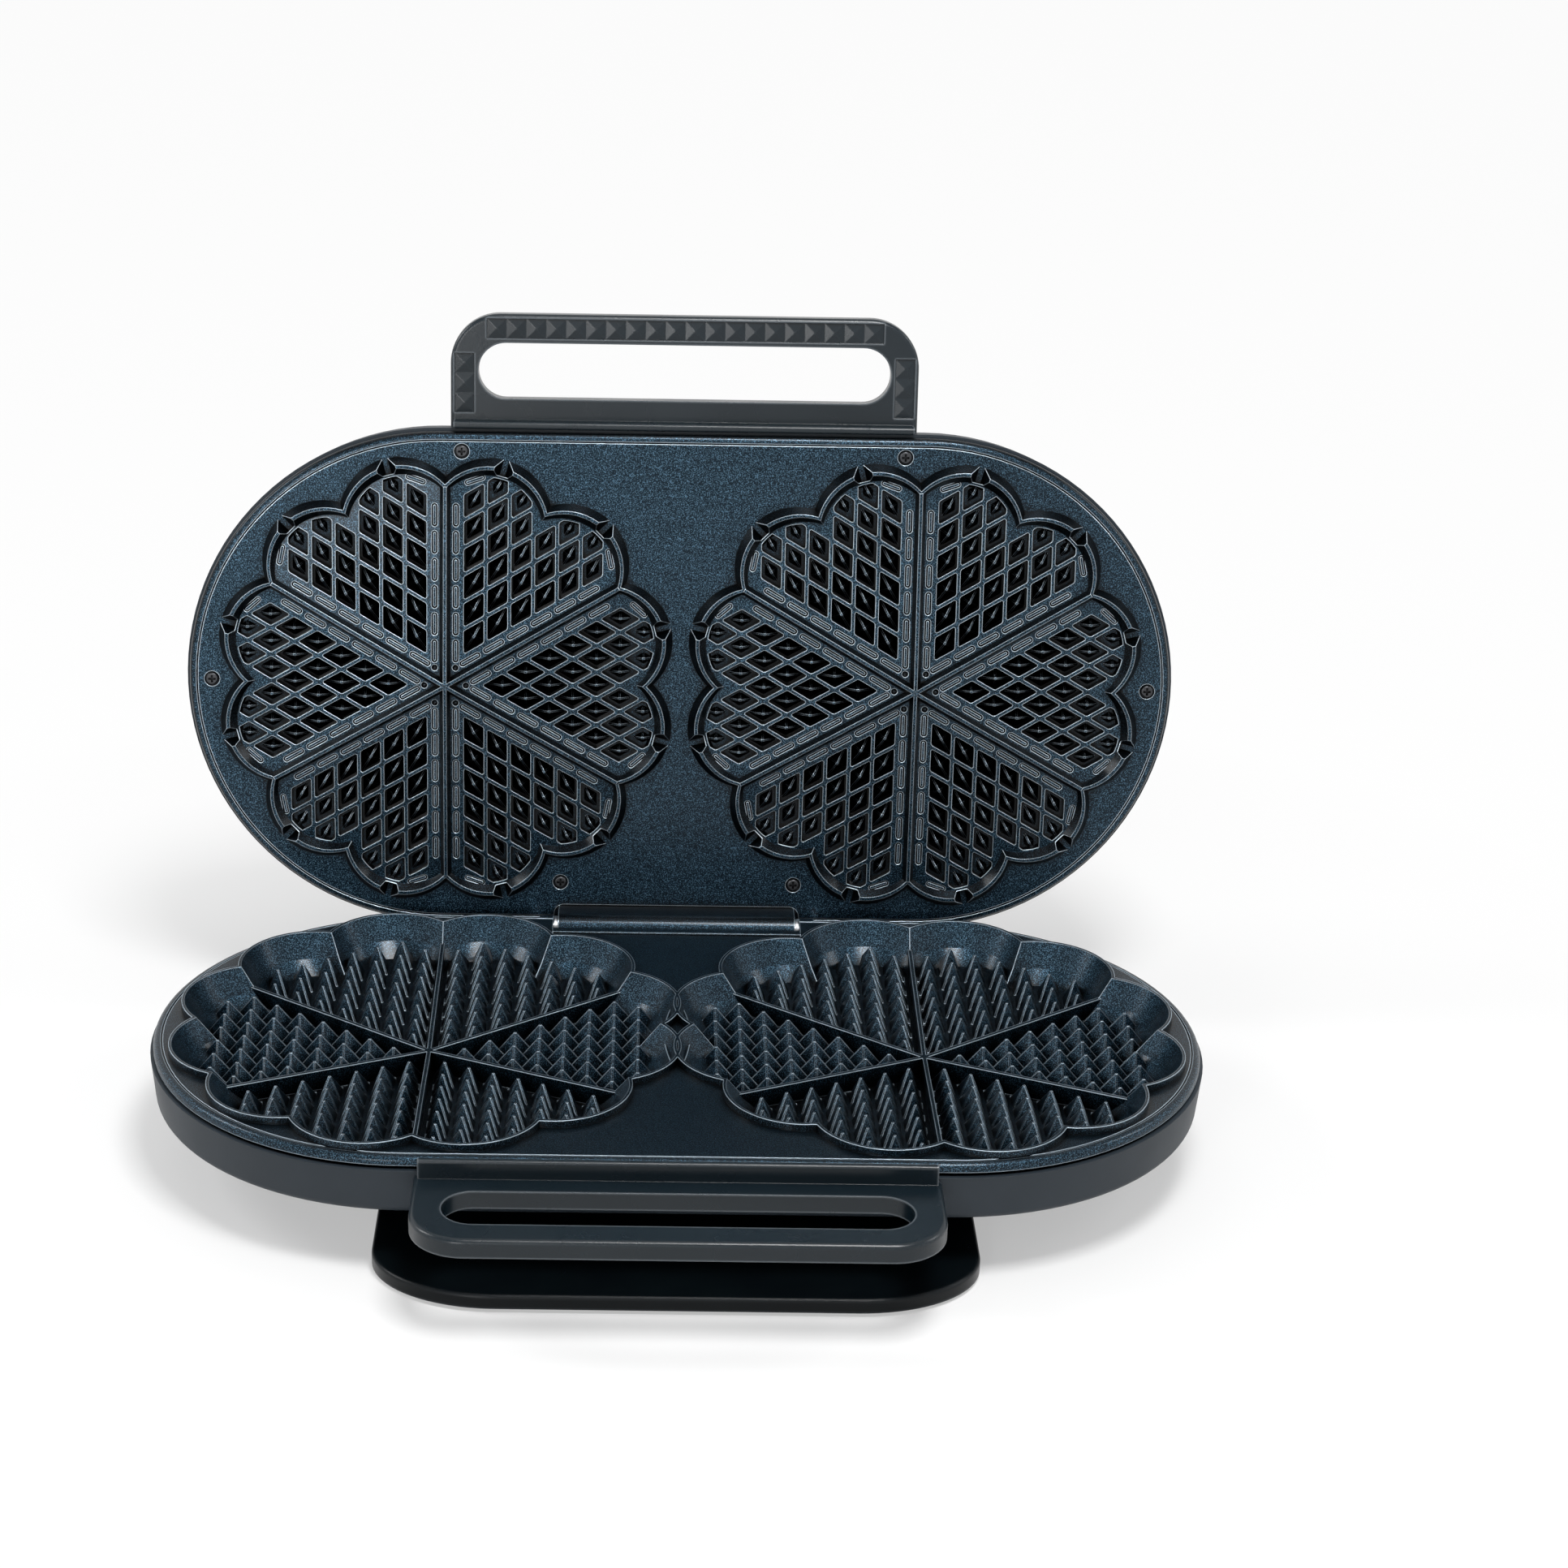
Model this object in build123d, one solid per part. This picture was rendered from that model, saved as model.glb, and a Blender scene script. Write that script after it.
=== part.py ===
from build123d import *
import math
import os

# Double heart waffle iron, standing open on a table. Millimetres.
# X runs along the appliance, Y to the back, Z up from the table top.
# The lid is drawn closed over the base and then swung open about the hinge pin.

os.makedirs("parts", exist_ok=True)

# Body outline: a stadium in plan
body_length = 405.0
body_depth = 208.0
casing_draft = 1.5
casing_wall = 2.2

# Base heights
foot_proud = 1.6
stand_thickness = 5.4
shell_slope_height = 20.5
shell_wall_height = 16.9
shell_bottom_radius = 66.0
shell_edge_round = 3.0
shell_foot_round = 4.0
inner_floor_inset_ratio = 0.3
inner_foot_lift_ratio = 0.6
plate_gap = 1.5

# Plates
plate_skirt = 3.3
plate_sheet = 2.7
plate_edge_inset = 1.2
plate_edge_round = 2.4
bead_inset = 2.9
bead_width = 0.7
bead_depth = 0.5
lip_height = 2.8
lip_width = 1.7
closed_gap = 1.0

# Waffle pattern shared by both plates
flower_spacing = 192.0
lobe_count = 12
heart_count = 6
pattern_pitch = 11.1

# Lower pans
rim_notch_radius = 89.5
rim_apex_radius = 98.8
foot_notch_radius = 82.0
foot_apex_radius = 93.2
foot_depth = 9.5
rib_depth_centre = 13.0
rib_depth_wall = 7.5
rib_end_radius = 84.0
rib_width = 1.6
rib_wall_bite = 2.0
pyramid_height = 8.5
pyramid_side = 9.5
pyramid_tip = 1.2
pyramid_tip_blunt = 0.65
edge_blunt = 0.8
pyramid_first = 7.9
pyramid_wall_margin = 5.0
pan_floor_thickness = 2.7
slope_reach_ratio = 1.3
bowl_top_radius = 101.2
bowl_bottom_radius = 88.0
floor_dash_first = 17.9
floor_dash_length = 4.0
floor_dash_width = 0.9
floor_dash_height = 0.8

# Upper flowers
ridge_notch_radius = 85.0
ridge_apex_radius = 95.0
ridge_slope = 2.8
ridge_top_width = 1.4
ridge_inner_slope = 2.3
ridge_height = 4.5
ridge_centre_rise = 5.2
lattice_drop = 2.5
divider_base_width = 4.9
divider_top_width = 1.3
divider_end_inset = 7.0
pit_side = 9.45
pit_depth = 5.0
pit_first = 13.4
pit_wall_margin = 3.0
pit_tip_drop = 0.2
pit_border = 1.2
notch_inset_ratio = 1.15
slot_count = 6
slot_first = 14.2
slot_offset = 4.3
slot_length = 9.5
slot_width = 2.5
slot_depth = 0.9
slot_bar_width = 1.1
slot_bar_height = 0.7
lobe_slot_length = 8.5
lobe_slot_width = 2.3
lobe_slot_direction = 8.1
lobe_slot_turn = 27.0
lobe_slot_inset = 1.7
dimple_distance = 8.5
dimple_diameter = 2.6
vent_width = 2.2
vent_flare = 3.4
upper_back_thickness = 2.8

# Handles
handle_width = 189.0
handle_reach = 45.5
handle_thickness = 7.0
handle_corner = 20.0
handle_below_casing_edge = 1.2
handle_edge_round = 1.8
flange_width = 186.0
flange_thickness = 3.0
flange_rise = 7.3
slot_inner_margin = 11.5
finger_slot_width = 22.5
finger_slot_length = 166.6
grip_square = 8.0
grip_recess = 0.8
grip_facet_height = 0.6
grip_facet_tip = 0.6
grip_side_count = 3
grip_side_first = 1.75
flange_round_ratio = 0.4

# Stand
stand_width = 222.0
stand_front = 126.3
stand_rear = 112.0
stand_corner_x = 46.0
stand_corner_y = 33.0
stand_edge_round = 1.2
stand_pocket_depth = 3.0
stand_rim = 5.0
foot_diameter = 14.0
foot_recess = 1.0
foot_edge_round = 0.5
foot_x = 86.0
foot_front_y = 98.0
foot_rear_y = 84.0
pad_wall = 2.0
stand_screw_recess = 1.0
stand_screw_inset = 2.9

# Hinge
hinge_back = 101.73
hinge_drop = 7.41
open_angle = 98.3
barrel_length = 98.0
barrel_diameter = 12.0
hinge_recess_half = 51.0
hinge_recess_front = 89.4
hinge_step_front = 94.5
hinge_web_inset = 0.5
hinge_recess_corner = 4.0
recess_bead_width = 3.9
recess_bead_height = 0.9
recess_bead_round_ratio = 0.6
ear_thickness = 6.0
ear_radius = 4.6
pin_diameter = 5.0
pin_clearance = 0.05
bore_clearance = 0.5
hinge_step_depth = 0.6
bush_wall = 1.5
bush_length = 9.0
washer_thickness = 1.1
washer_diameter = 9.0
clip_thickness = 1.0
clip_diameter = 7.6
clip_room = 0.3
clip_groove_depth = 0.5
clip_groove_clearance = 0.05
clip_play = 0.1
clip_mouth_ratio = 0.8
pin_end = 1.1
barrel_clearance = 1.0

# Fasteners
thread_clearance = 0.05
through_clearance = 0.2
plate_screw_diameter = 3.5
plate_screw_head = 5.0
plate_screw_head_height = 2.0
plate_screw_length = 14.0
plate_screw_recess = 6.3
plate_screw_proud = 0.6
casing_screw_diameter = 3.5
casing_screw_head = 7.0
casing_screw_head_height = 2.4
casing_screw_length = 14.0
handle_screw_length = 11.0
boss_diameter = 9.0
shell_boss_height = 13.0
counterbore_depth = 5.0
head_clearance = 0.2
blind_margin = 1.0
wall_clearance = 0.05
wall_hole_length = 20.0
cross_width = 0.9
cross_depth = 1.1
cross_length_ratio = 0.62
head_round_ratio = 0.35

# Heating
heater_diameter = 6.6
heater_bend_radius = 52.0
heater_bend_offset = 8.0
heater_leg = 63.0
heater_pin_diameter = 2.6
heater_pin_length = 7.0
clamp_offset = 26.0
clamp_width = 12.0
clamp_thickness = 2.0
clamp_length = 122.0
clamp_corner_ratio = 0.25
clamp_screw_length = 8.0
reflector_radius = 70.0
reflector_thickness = 0.8
reflector_hole = 12.0

# Electrical parts
terminal_length = 30.0
terminal_depth = 18.0
terminal_height = 12.0
terminal_pitch = 9.1
terminal_cup = 4.4
terminal_cup_depth = 3.0
lead_diameter = 2.2
lead_bend = 5.0
lead_straight = 2.0
lead_entry_ratio = 1 / 3
fuse_length = 14.0
fuse_width = 6.0
fuse_height = 4.0
fuse_round_ratio = 0.3
gland_x = 80.0
gland_bore = 6.6
gland_diameter = 12.0
gland_flange = 16.0
gland_flange_thickness = 2.6
gland_inner_flange = 1.4
gland_inner_inset = 0.6

# Lid top
dome_rise = 10.0
dome_shoulder = 5.2
dome_shoulder_inset = 4.5
shoulder_round = 4.0
inner_shoulder_ratio = 0.7
inner_drop_ratio = 0.8
inner_wall_drop_ratio = 0.3
boss_skin = 1.0
knob_y = -60.0
knob_diameter = 34.0
knob_height = 11.0
knob_gap = 0.5
knob_grip_width = 7.0
knob_skirt_height = 4.0
knob_skirt_round = 1.2
knob_grip_inset = 1.4
knob_grip_round = 1.0
knob_grip_end_ratio = 0.4
knob_pad_diameter = 42.0
knob_pad_rise = 1.4
spindle_diameter = 6.0
spindle_in_knob = 7.0
spindle_end_gap = 0.3
thermostat_length = 34.0
thermostat_depth = 26.0
thermostat_height = 12.0
thermostat_corner = 3.0
bracket_length = 62.0
bracket_width = 14.0
bracket_thickness = 1.2
bracket_depth_below_dome = 12.0
bracket_screw_spacing = 50.0
light_spacing = 28.0
light_y = -28.0
light_diameter = 7.0
light_proud = 1.2
light_depth = 9.0
light_holder_length = 46.0
light_holder_width = 14.0
light_holder_thickness = 5.0
light_holder_corner = 2.0
light_edge_round = 1.1
small_screw_diameter = 3.0
small_screw_head = 5.4
small_screw_head_height = 1.8
small_screw_length = 7.0
small_boss = 7.0

# Places worked out from the sizes above
casing_radius = body_depth / 2
half_straight = body_length / 2 - casing_radius
flower_x = flower_spacing / 2
lobe_angle = 360.0 / lobe_count
heart_angle = 360.0 / heart_count
stand_top = foot_proud + stand_thickness
shell_lower_edge = stand_top + shell_slope_height
casing_edge = shell_lower_edge + shell_wall_height
skirt_bottom = casing_edge + plate_gap
plate_flat = skirt_bottom + plate_skirt
rim_top = plate_flat + lip_height
lid_flat = rim_top + closed_gap
lid_skirt_top = lid_flat + plate_skirt
lid_casing_edge = lid_skirt_top + plate_gap
lid_wall_top = lid_casing_edge + shell_wall_height
lid_shoulder = lid_wall_top + dome_shoulder
lid_top = lid_shoulder + dome_rise
plate_radius = casing_radius - plate_edge_inset
sheet_radius = plate_radius - plate_sheet
sheet_under = plate_flat - plate_sheet
lid_sheet_back = lid_flat + plate_sheet
casing_foot_radius = casing_radius - casing_draft
mirror_height = (rim_top + lid_flat) / 2
hinge_z = rim_top - hinge_drop
bowl_under = rim_top - rib_depth_centre - pyramid_height - pan_floor_thickness
upper_back = lid_flat - ridge_height + lattice_drop + pit_depth + upper_back_thickness
lattice_apex_radius = ridge_apex_radius - ridge_slope - ridge_top_width - ridge_inner_slope
embed = 0.6
cut_over = 1.0

# Screw places in plan
upper_screw_places = [(191.9, 0.0), (89.5, -95.2), (48.5, 84.8)]
lower_post_places = [(flower_x, 0.0), (-flower_x, 0.0), (0.0, 58.0), (0.0, -58.0)]
stand_screw_places = [(45.0, 40.0), (-45.0, 40.0), (45.0, -40.0), (-45.0, -40.0)]
handle_screw_places = [-75.0, -25.0, 25.0, 75.0]
post_split = stand_top + shell_boss_height

hinge_axis = Axis((0, hinge_back, hinge_z), (1, 0, 0))


def polar(radius, degrees, height=0.0):
    turn = math.radians(degrees)
    return Vector(radius * math.cos(turn), radius * math.sin(turn), height)


def cylinder_between(radius, bottom, top, x=0.0, y=0.0):
    return Pos(x, y, (bottom + top) / 2) * Cylinder(radius, top - bottom)


def box_between(x0, x1, y0, y1, z0, z1):
    return Pos((x0 + x1) / 2, (y0 + y1) / 2, (z0 + z1) / 2) * Box(x1 - x0, y1 - y0, z1 - z0)


def along_hinge(radius, x0, x1):
    rod = Rot(0, 90, 0) * Cylinder(radius, x1 - x0)
    return Pos((x0 + x1) / 2, hinge_back, hinge_z) * rod


def section_face(points, rounds=()):
    """Closed outline in the plane x = 0, drawn as (distance to the front, height)."""
    face = make_face(Polyline([(0, -r, z) for r, z in points], close=True))
    for r, z, radius in rounds:
        corner = face.vertices().sort_by_distance((0, -r, z))[0]
        face = fillet(corner, radius)
    return face


def stadium_solid(face, straight=None):
    """Carries a section round a stadium: two half turns joined by two straight runs."""
    reach = half_straight if straight is None else straight
    turn = revolve(face, Axis.Z, 180)
    front = Pos(-reach, 0, 0) * extrude(face, amount=2 * reach, dir=(1, 0, 0))
    right = Pos(reach, 0, 0) * turn
    left = Pos(-reach, 0, 0) * (Rot(0, 0, 180) * turn)
    rear = Rot(0, 0, 180) * front
    return (front + rear + right + left).clean().solid()


def flower_outline(notch, apex, height):
    """Twelve-lobed outline round the Z axis."""
    arcs = []
    for i in range(lobe_count):
        start = polar(notch, i * lobe_angle, height)
        middle = polar(apex, (i + 0.5) * lobe_angle, height)
        end = polar(notch, (i + 1) * lobe_angle, height)
        arcs.append(ThreePointArc(start, middle, end))
    return Wire(arcs)


def flower_prism(notch, apex, bottom, top):
    """Straight-sided solid inside one lobed outline."""
    return flower_loft((notch, apex, bottom), (notch, apex, top))


def flower_loft(lower, upper):
    """Solid between two lobed outlines, each given as (notch radius, apex radius, height)."""
    return Solid.make_loft([flower_outline(*lower), flower_outline(*upper)], ruled=True)


def outline_radius(degrees, notch, apex):
    """Distance from the flower's centre to its outline in one direction."""
    half = math.radians(lobe_angle / 2)
    centre = (apex ** 2 - notch ** 2) / (2 * (apex - notch * math.cos(half)))
    lobe = apex - centre
    turn = math.radians(degrees % lobe_angle) - half
    return centre * math.cos(turn) + math.sqrt(lobe ** 2 - (centre * math.sin(turn)) ** 2)


def rhombus(place, side, blunt, height):
    """Corners of an outline with sides along two neighbouring dividers, its points cut to one width."""
    first = polar(1.0, lobe_angle)
    second = polar(1.0, lobe_angle + heart_angle)
    sharp_cut = blunt / (2 * math.sin(math.radians(heart_angle / 2)))
    wide_cut = blunt / (2 * math.cos(math.radians(heart_angle / 2)))
    half = side / 2
    corners = []
    for turn in (1, -1):
        corners.append((half * turn, (half - sharp_cut) * turn))
        corners.append(((half - sharp_cut) * turn, half * turn))
        corners.append(((wide_cut - half) * turn, half * turn))
        corners.append((-half * turn, (half - wide_cut) * turn))
    middle = Vector(place.X, place.Y, height)
    return [middle + first * along + second * across for along, across in corners]


def faceted(rings):
    """Solid with flat sides between outlines that have the same number of corners."""
    faces = [Face(Wire.make_polygon(ring)) for ring in (rings[0], rings[-1])]
    for low, high in zip(rings, rings[1:]):
        for i in range(len(low)):
            j = (i + 1) % len(low)
            faces.append(Face(Wire.make_polygon([low[i], low[j], high[j], high[i]])))
    return Solid(Shell(faces))


def level_reach(place):
    """How far along the dividers the first heart's sloping plane is as high as at a place."""
    along = place.dot(polar(1.0, lobe_angle + heart_angle / 2))
    return along / math.cos(math.radians(heart_angle / 2))


def heart_slopes(centre_height, far_height, far, base_height):
    """Solid between a level base and one sloping plane for each heart, which meet along the dividers."""
    peak = Vector(0, 0, centre_height)
    tops = [polar(far, lobe_angle + k * heart_angle, far_height) for k in range(heart_count)]
    bases = [Vector(corner.X, corner.Y, base_height) for corner in tops]
    faces = [Face(Wire.make_polygon(bases))]
    for k in range(heart_count):
        other = (k + 1) % heart_count
        faces.append(Face(Wire.make_polygon([peak, tops[k], tops[other]])))
        faces.append(Face(Wire.make_polygon([tops[k], tops[other], bases[other], bases[k]])))
    return Solid(Shell(faces))


def pattern_places(first, notch, apex, margin):
    """Places of one heart's rhombic grid that lie inside an outline."""
    heading = lobe_angle
    steps = int(apex / pattern_pitch) + 1
    places = []
    for i in range(steps):
        for j in range(steps):
            along = polar(first + pattern_pitch * i, heading)
            across = polar(first + pattern_pitch * j, heading + heart_angle)
            place = along + across
            direction = math.degrees(math.atan2(place.Y, place.X))
            if place.length + margin < outline_radius(direction, notch, apex):
                places.append(place)
    return places


def each_heart(shapes):
    """Copies of one heart's shapes turned to every heart of a flower."""
    turned = []
    for k in range(heart_count):
        turned += [Rot(0, 0, k * heart_angle) * shape for shape in shapes]
    return turned


def both_flowers(shapes):
    copies = []
    for x in (-flower_x, flower_x):
        copies += [Pos(x, 0, 0) * shape for shape in shapes]
    return copies


def screw(diameter, length, head_diameter, head_height, cross=False):
    """Shank upwards from z = 0, head below it."""
    shank = cylinder_between(diameter / 2, -embed / 2, length)
    head = cylinder_between(head_diameter / 2, -head_height, 0)
    head = fillet(head.edges().group_by(Axis.Z)[0], head_height * head_round_ratio)
    body = shank + head
    if cross:
        arm = head_diameter * cross_length_ratio
        bar = Pos(0, 0, cross_depth / 2 - head_height) * Box(arm, cross_width, cross_depth)
        body = body - bar - Rot(0, 0, 90) * bar
    return body.solid()


def group(shapes):
    return Compound(children=[shape for shape in shapes])


# Lower plate


def rib_top_height(radius):
    """Height of the divider tops and pyramid tips over the pan, at a distance from its centre."""
    share = radius / rib_end_radius
    return rim_top - rib_depth_centre + (rib_depth_centre - rib_depth_wall) * share


def pan_cavity():
    """Space inside one pan, from above its rim down to the sloping floor."""
    flare = cut_over / foot_depth
    above = (
        rim_notch_radius + (rim_notch_radius - foot_notch_radius) * flare,
        rim_apex_radius + (rim_apex_radius - foot_apex_radius) * flare,
        rim_top + cut_over,
    )
    foot = (foot_notch_radius, foot_apex_radius, rim_top - foot_depth)
    run = rib_depth_centre + pyramid_height - foot_depth + embed
    deep = (foot_notch_radius - run, foot_apex_radius - run, rim_top - foot_depth - run)
    space = flower_loft(foot, above) + flower_loft(deep, foot)
    far = slope_reach_ratio * rim_apex_radius
    floor_centre = rib_top_height(0) - pyramid_height
    floor_far = rib_top_height(far) - pyramid_height
    return space - heart_slopes(floor_centre, floor_far, far, floor_centre - pyramid_height)


def pan_pyramids():
    """Pyramids of one heart."""
    tip_depth = rib_depth_wall / foot_depth
    notch = rim_notch_radius - (rim_notch_radius - foot_notch_radius) * tip_depth
    apex = rim_apex_radius - (rim_apex_radius - foot_apex_radius) * tip_depth
    pyramids = []
    for place in pattern_places(pyramid_first, notch, apex, pyramid_wall_margin):
        tip_height = rib_top_height(level_reach(place))
        growth = (pyramid_side - pyramid_tip) / pyramid_height
        base_height = tip_height - pyramid_height - embed
        base_side = pyramid_side + growth * embed
        base = rhombus(place, base_side, edge_blunt, base_height)
        tip = rhombus(place, pyramid_tip, pyramid_tip_blunt, tip_height)
        pyramids.append(faceted([base, tip]))
    return pyramids


def pan_divider():
    """One straight divider wall from the pan's centre into its wall."""
    end = rib_end_radius + rib_wall_bite
    bottom = rib_top_height(0) - pyramid_height - embed
    outline = Polyline(
        [(0, rib_top_height(0)), (end, rib_top_height(end)), (end, bottom + rib_depth_wall), (0, bottom)],
        close=True,
    )
    wall = extrude(Plane.XZ * make_face(outline), amount=rib_width / 2, both=True)
    return Rot(0, 0, lobe_angle) * wall


def pan_dashes():
    """Short raised bars on the pan floor beside one divider."""
    bars = []
    side = pyramid_first * math.sin(math.radians(heart_angle)) / 2
    count = int((rib_end_radius - floor_dash_first) / pattern_pitch) + 1
    for i in range(count):
        along = floor_dash_first + pattern_pitch * i
        level = along + side * math.tan(math.radians(heart_angle / 2))
        top = rib_top_height(level) - pyramid_height + floor_dash_height
        for hand in (-1, 1):
            y = hand * (side - floor_dash_width / 2)
            bar = box_between(
                along - floor_dash_length / 2,
                along + floor_dash_length / 2,
                y - floor_dash_width / 2,
                y + floor_dash_width / 2,
                top - 2 * floor_dash_height,
                top,
            )
            bars.append(Rot(0, 0, lobe_angle) * bar)
    return bars


def plate_sheet_solid():
    """Flat sheet with a skirt and a fine bead line near its edge, top face up at plate_flat."""
    bead_outer = plate_radius - bead_inset
    bead_inner = bead_outer - bead_width
    points = [
        (0, plate_flat),
        (bead_inner, plate_flat),
        (bead_inner, plate_flat - bead_depth),
        (bead_outer, plate_flat - bead_depth),
        (bead_outer, plate_flat),
        (plate_radius, plate_flat),
        (plate_radius, skirt_bottom),
        (sheet_radius, skirt_bottom),
        (sheet_radius, sheet_under),
        (0, sheet_under),
    ]
    return stadium_solid(section_face(points, [(plate_radius, plate_flat, plate_edge_round)]))


def pan_solid():
    """One pan: bowl, raised lip, dividers, pyramids and floor dashes, round the Z axis."""
    bowl = Pos(0, 0, (bowl_under + sheet_under + embed) / 2) * Cone(
        bowl_bottom_radius, bowl_top_radius, sheet_under - bowl_under + embed
    )
    lip_foot = (rim_notch_radius + lip_width + embed, rim_apex_radius + lip_width, sheet_under)
    lip_head = (rim_notch_radius + lip_width, rim_apex_radius + lip_width - embed, rim_top)
    pan = (bowl + flower_loft(lip_foot, lip_head)) - pan_cavity()
    return pan.fuse(*each_heart([pan_divider()] + pan_pyramids() + pan_dashes())).solid()


def hinge_ear(side):
    """Ear beside the hinge recess that holds one end of the pin."""
    low, high = sorted([side * hinge_recess_half, side * (hinge_recess_half + ear_thickness)])
    block = box_between(
        low, high, hinge_recess_front, hinge_back, hinge_z - ear_radius, sheet_under + embed
    )
    return block + along_hinge(ear_radius, low, high)


def pin_ways():
    """Bore through both ears, and the room round the pin's clips under the sheet's rear edge."""
    ear_end = hinge_recess_half + ear_thickness
    far = clip_groove(1)[1] + pin_end + clip_room
    ways = [along_hinge(pin_diameter / 2 + thread_clearance, -far, far)]
    for side in (-1, 1):
        ways.append(along_hinge(clip_diameter / 2 + clip_room, *sorted([side * ear_end, side * far])))
    return ways


def post_solid(x, y, mouth, root, screw_diameter, tip):
    """Post under or over a plate with its blind screw hole, opening away from the plate."""
    post = cylinder_between(boss_diameter / 2, min(mouth, root), max(mouth, root), x, y)
    start = mouth - cut_over if root > mouth else mouth + cut_over
    return post - screw_hole(screw_diameter, min(start, tip), max(start, tip), x, y)


def lower_plate_solid():
    window = flower_prism(
        rim_notch_radius, rim_apex_radius, sheet_under - cut_over, plate_flat + cut_over
    )
    recess = box_between(
        -hinge_recess_half, hinge_recess_half, hinge_recess_front, 2 * casing_radius, bowl_under, rim_top
    )
    bead = box_between(
        -hinge_recess_half,
        hinge_recess_half,
        hinge_recess_front - recess_bead_width,
        hinge_recess_front,
        plate_flat - embed,
        plate_flat + recess_bead_height,
    )
    crown = bead.edges().filter_by(Axis.X).group_by(Axis.Z)[-1]
    bead = fillet(crown, recess_bead_height * recess_bead_round_ratio)
    sheet = plate_sheet_solid().cut(recess, *both_flowers([window]))
    sheet = sheet.fuse(bead, hinge_ear(-1), hinge_ear(1)).cut(*pin_ways())

    posts = []
    for x, y in lower_post_places:
        carrier = bowl_under if x else sheet_under
        posts.append(
            post_solid(x, y, post_split, carrier + embed, casing_screw_diameter, screw_tip_height() + embed)
        )
    foot = bowl_under - heater_diameter
    tip = foot - clamp_thickness - reflector_thickness + clamp_screw_length + embed
    for x in clamp_places():
        posts.append(post_solid(x, 0, foot, bowl_under + embed, small_screw_diameter, tip))
    return sheet.fuse(*both_flowers([pan_solid()]), *posts).solid()


def clamp_places():
    return [-(flower_x - clamp_offset), flower_x - clamp_offset]


def screw_hole(diameter, bottom, top, x, y):
    return cylinder_between(diameter / 2 + thread_clearance, bottom, top, x, y)


def screw_tip_height():
    return stand_top + counterbore_depth + casing_screw_length


# Upper plate, drawn closed: the baking side looks down


def lattice_height(radius):
    """Height of the lattice between the pits, at a distance from the flower's centre."""
    wall = lid_flat - ridge_height + lattice_drop
    return wall - ridge_centre_rise * (1 - radius / lattice_apex_radius)


def divider_height(radius):
    return lattice_height(radius) - lattice_drop


def pit_tool(place):
    """Space of one pit: a rhombic well round a pyramid."""
    mouth = lattice_height(level_reach(place))
    floor = mouth + pit_depth
    rings = [
        rhombus(place, pit_side, edge_blunt, mouth - cut_over),
        rhombus(place, pit_side, edge_blunt, floor),
        rhombus(place, pyramid_tip, pyramid_tip_blunt, mouth + pit_tip_drop),
    ]
    return faceted(rings)


def border_radii(extra):
    """Inner border of the lattice, moved outwards by a distance."""
    inset = ridge_slope + ridge_top_width + ridge_inner_slope - extra
    return ridge_notch_radius - inset * notch_inset_ratio, ridge_apex_radius - inset


def flower_block():
    """Raised flower: ridge, lattice with pits, dividers, slots and vents, round the Z axis."""
    ridge_top = lid_flat - ridge_height
    top_notch = ridge_notch_radius - ridge_slope
    top_apex = ridge_apex_radius - ridge_slope
    block = flower_prism(ridge_notch_radius, ridge_apex_radius, lid_flat, upper_back)
    block = block + flower_loft(
        (top_notch, top_apex, ridge_top), (ridge_notch_radius, ridge_apex_radius, lid_flat)
    )
    mouth_notch = top_notch - ridge_top_width * notch_inset_ratio
    mouth_apex = top_apex - ridge_top_width
    slope = ridge_inner_slope / lattice_drop
    dish_foot = lid_flat + embed
    shrink = slope * (dish_foot - ridge_top)
    dish = flower_loft(
        (mouth_notch + slope, mouth_apex + slope, ridge_top - cut_over),
        (mouth_notch - shrink, mouth_apex - shrink, dish_foot),
    )
    block = block - dish
    far = slope_reach_ratio * ridge_apex_radius
    slopes = heart_slopes(lattice_height(0), lattice_height(far), far, upper_back)
    below = lattice_height(0) - pit_depth
    core = slopes & flower_prism(mouth_notch, mouth_apex, below, upper_back)

    clip_notch, clip_apex = border_radii(-pit_border)
    clip = flower_prism(clip_notch, clip_apex, below, upper_back)
    notch, apex = border_radii(0.0)
    pits = []
    for place in pattern_places(pit_first, notch, apex, pit_wall_margin):
        tool = pit_tool(place)
        direction = math.degrees(math.atan2(place.Y, place.X))
        if place.length + pit_side > outline_radius(direction, clip_notch, clip_apex):
            tool = (tool & clip).solids()[0]
        pits.append(tool)
    core = core.cut(*each_heart(pits))
    core = core.cut(*each_heart(heart_marks()))
    block = block.fuse(core.solid())
    dividers = each_heart([upper_divider()])
    block = block.fuse(*dividers)
    vents = []
    for i in range(lobe_count):
        vents.append(Rot(0, 0, (i + 0.5) * lobe_angle) * vent_tool())
    return block.cut(*vents).solid()


def heart_marks():
    """Slots beside the dividers, one slot beside each outer notch and the round dimple of one heart."""
    marks = []
    bisector = lobe_angle + heart_angle / 2
    for hand in (-1, 1):
        edge = bisector - hand * heart_angle / 2
        for k in range(slot_count):
            place = polar(slot_first + pattern_pitch * k, edge) + polar(slot_offset, edge + hand * 90.0)
            marks.append(slot_tool(place, edge, slot_length, slot_width))
        near = edge + hand * lobe_slot_direction
        notch, apex = border_radii(-lobe_slot_inset)
        reach = outline_radius(near, notch, apex)
        tilt = 90.0 - hand * lobe_slot_turn
        marks.append(slot_tool(polar(reach, near), near + tilt, lobe_slot_length, lobe_slot_width))
    dimple = polar(dimple_distance, bisector)
    marks.append(Pos(dimple.X, dimple.Y, lattice_height(level_reach(dimple))) * Sphere(dimple_diameter / 2))
    return marks


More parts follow.
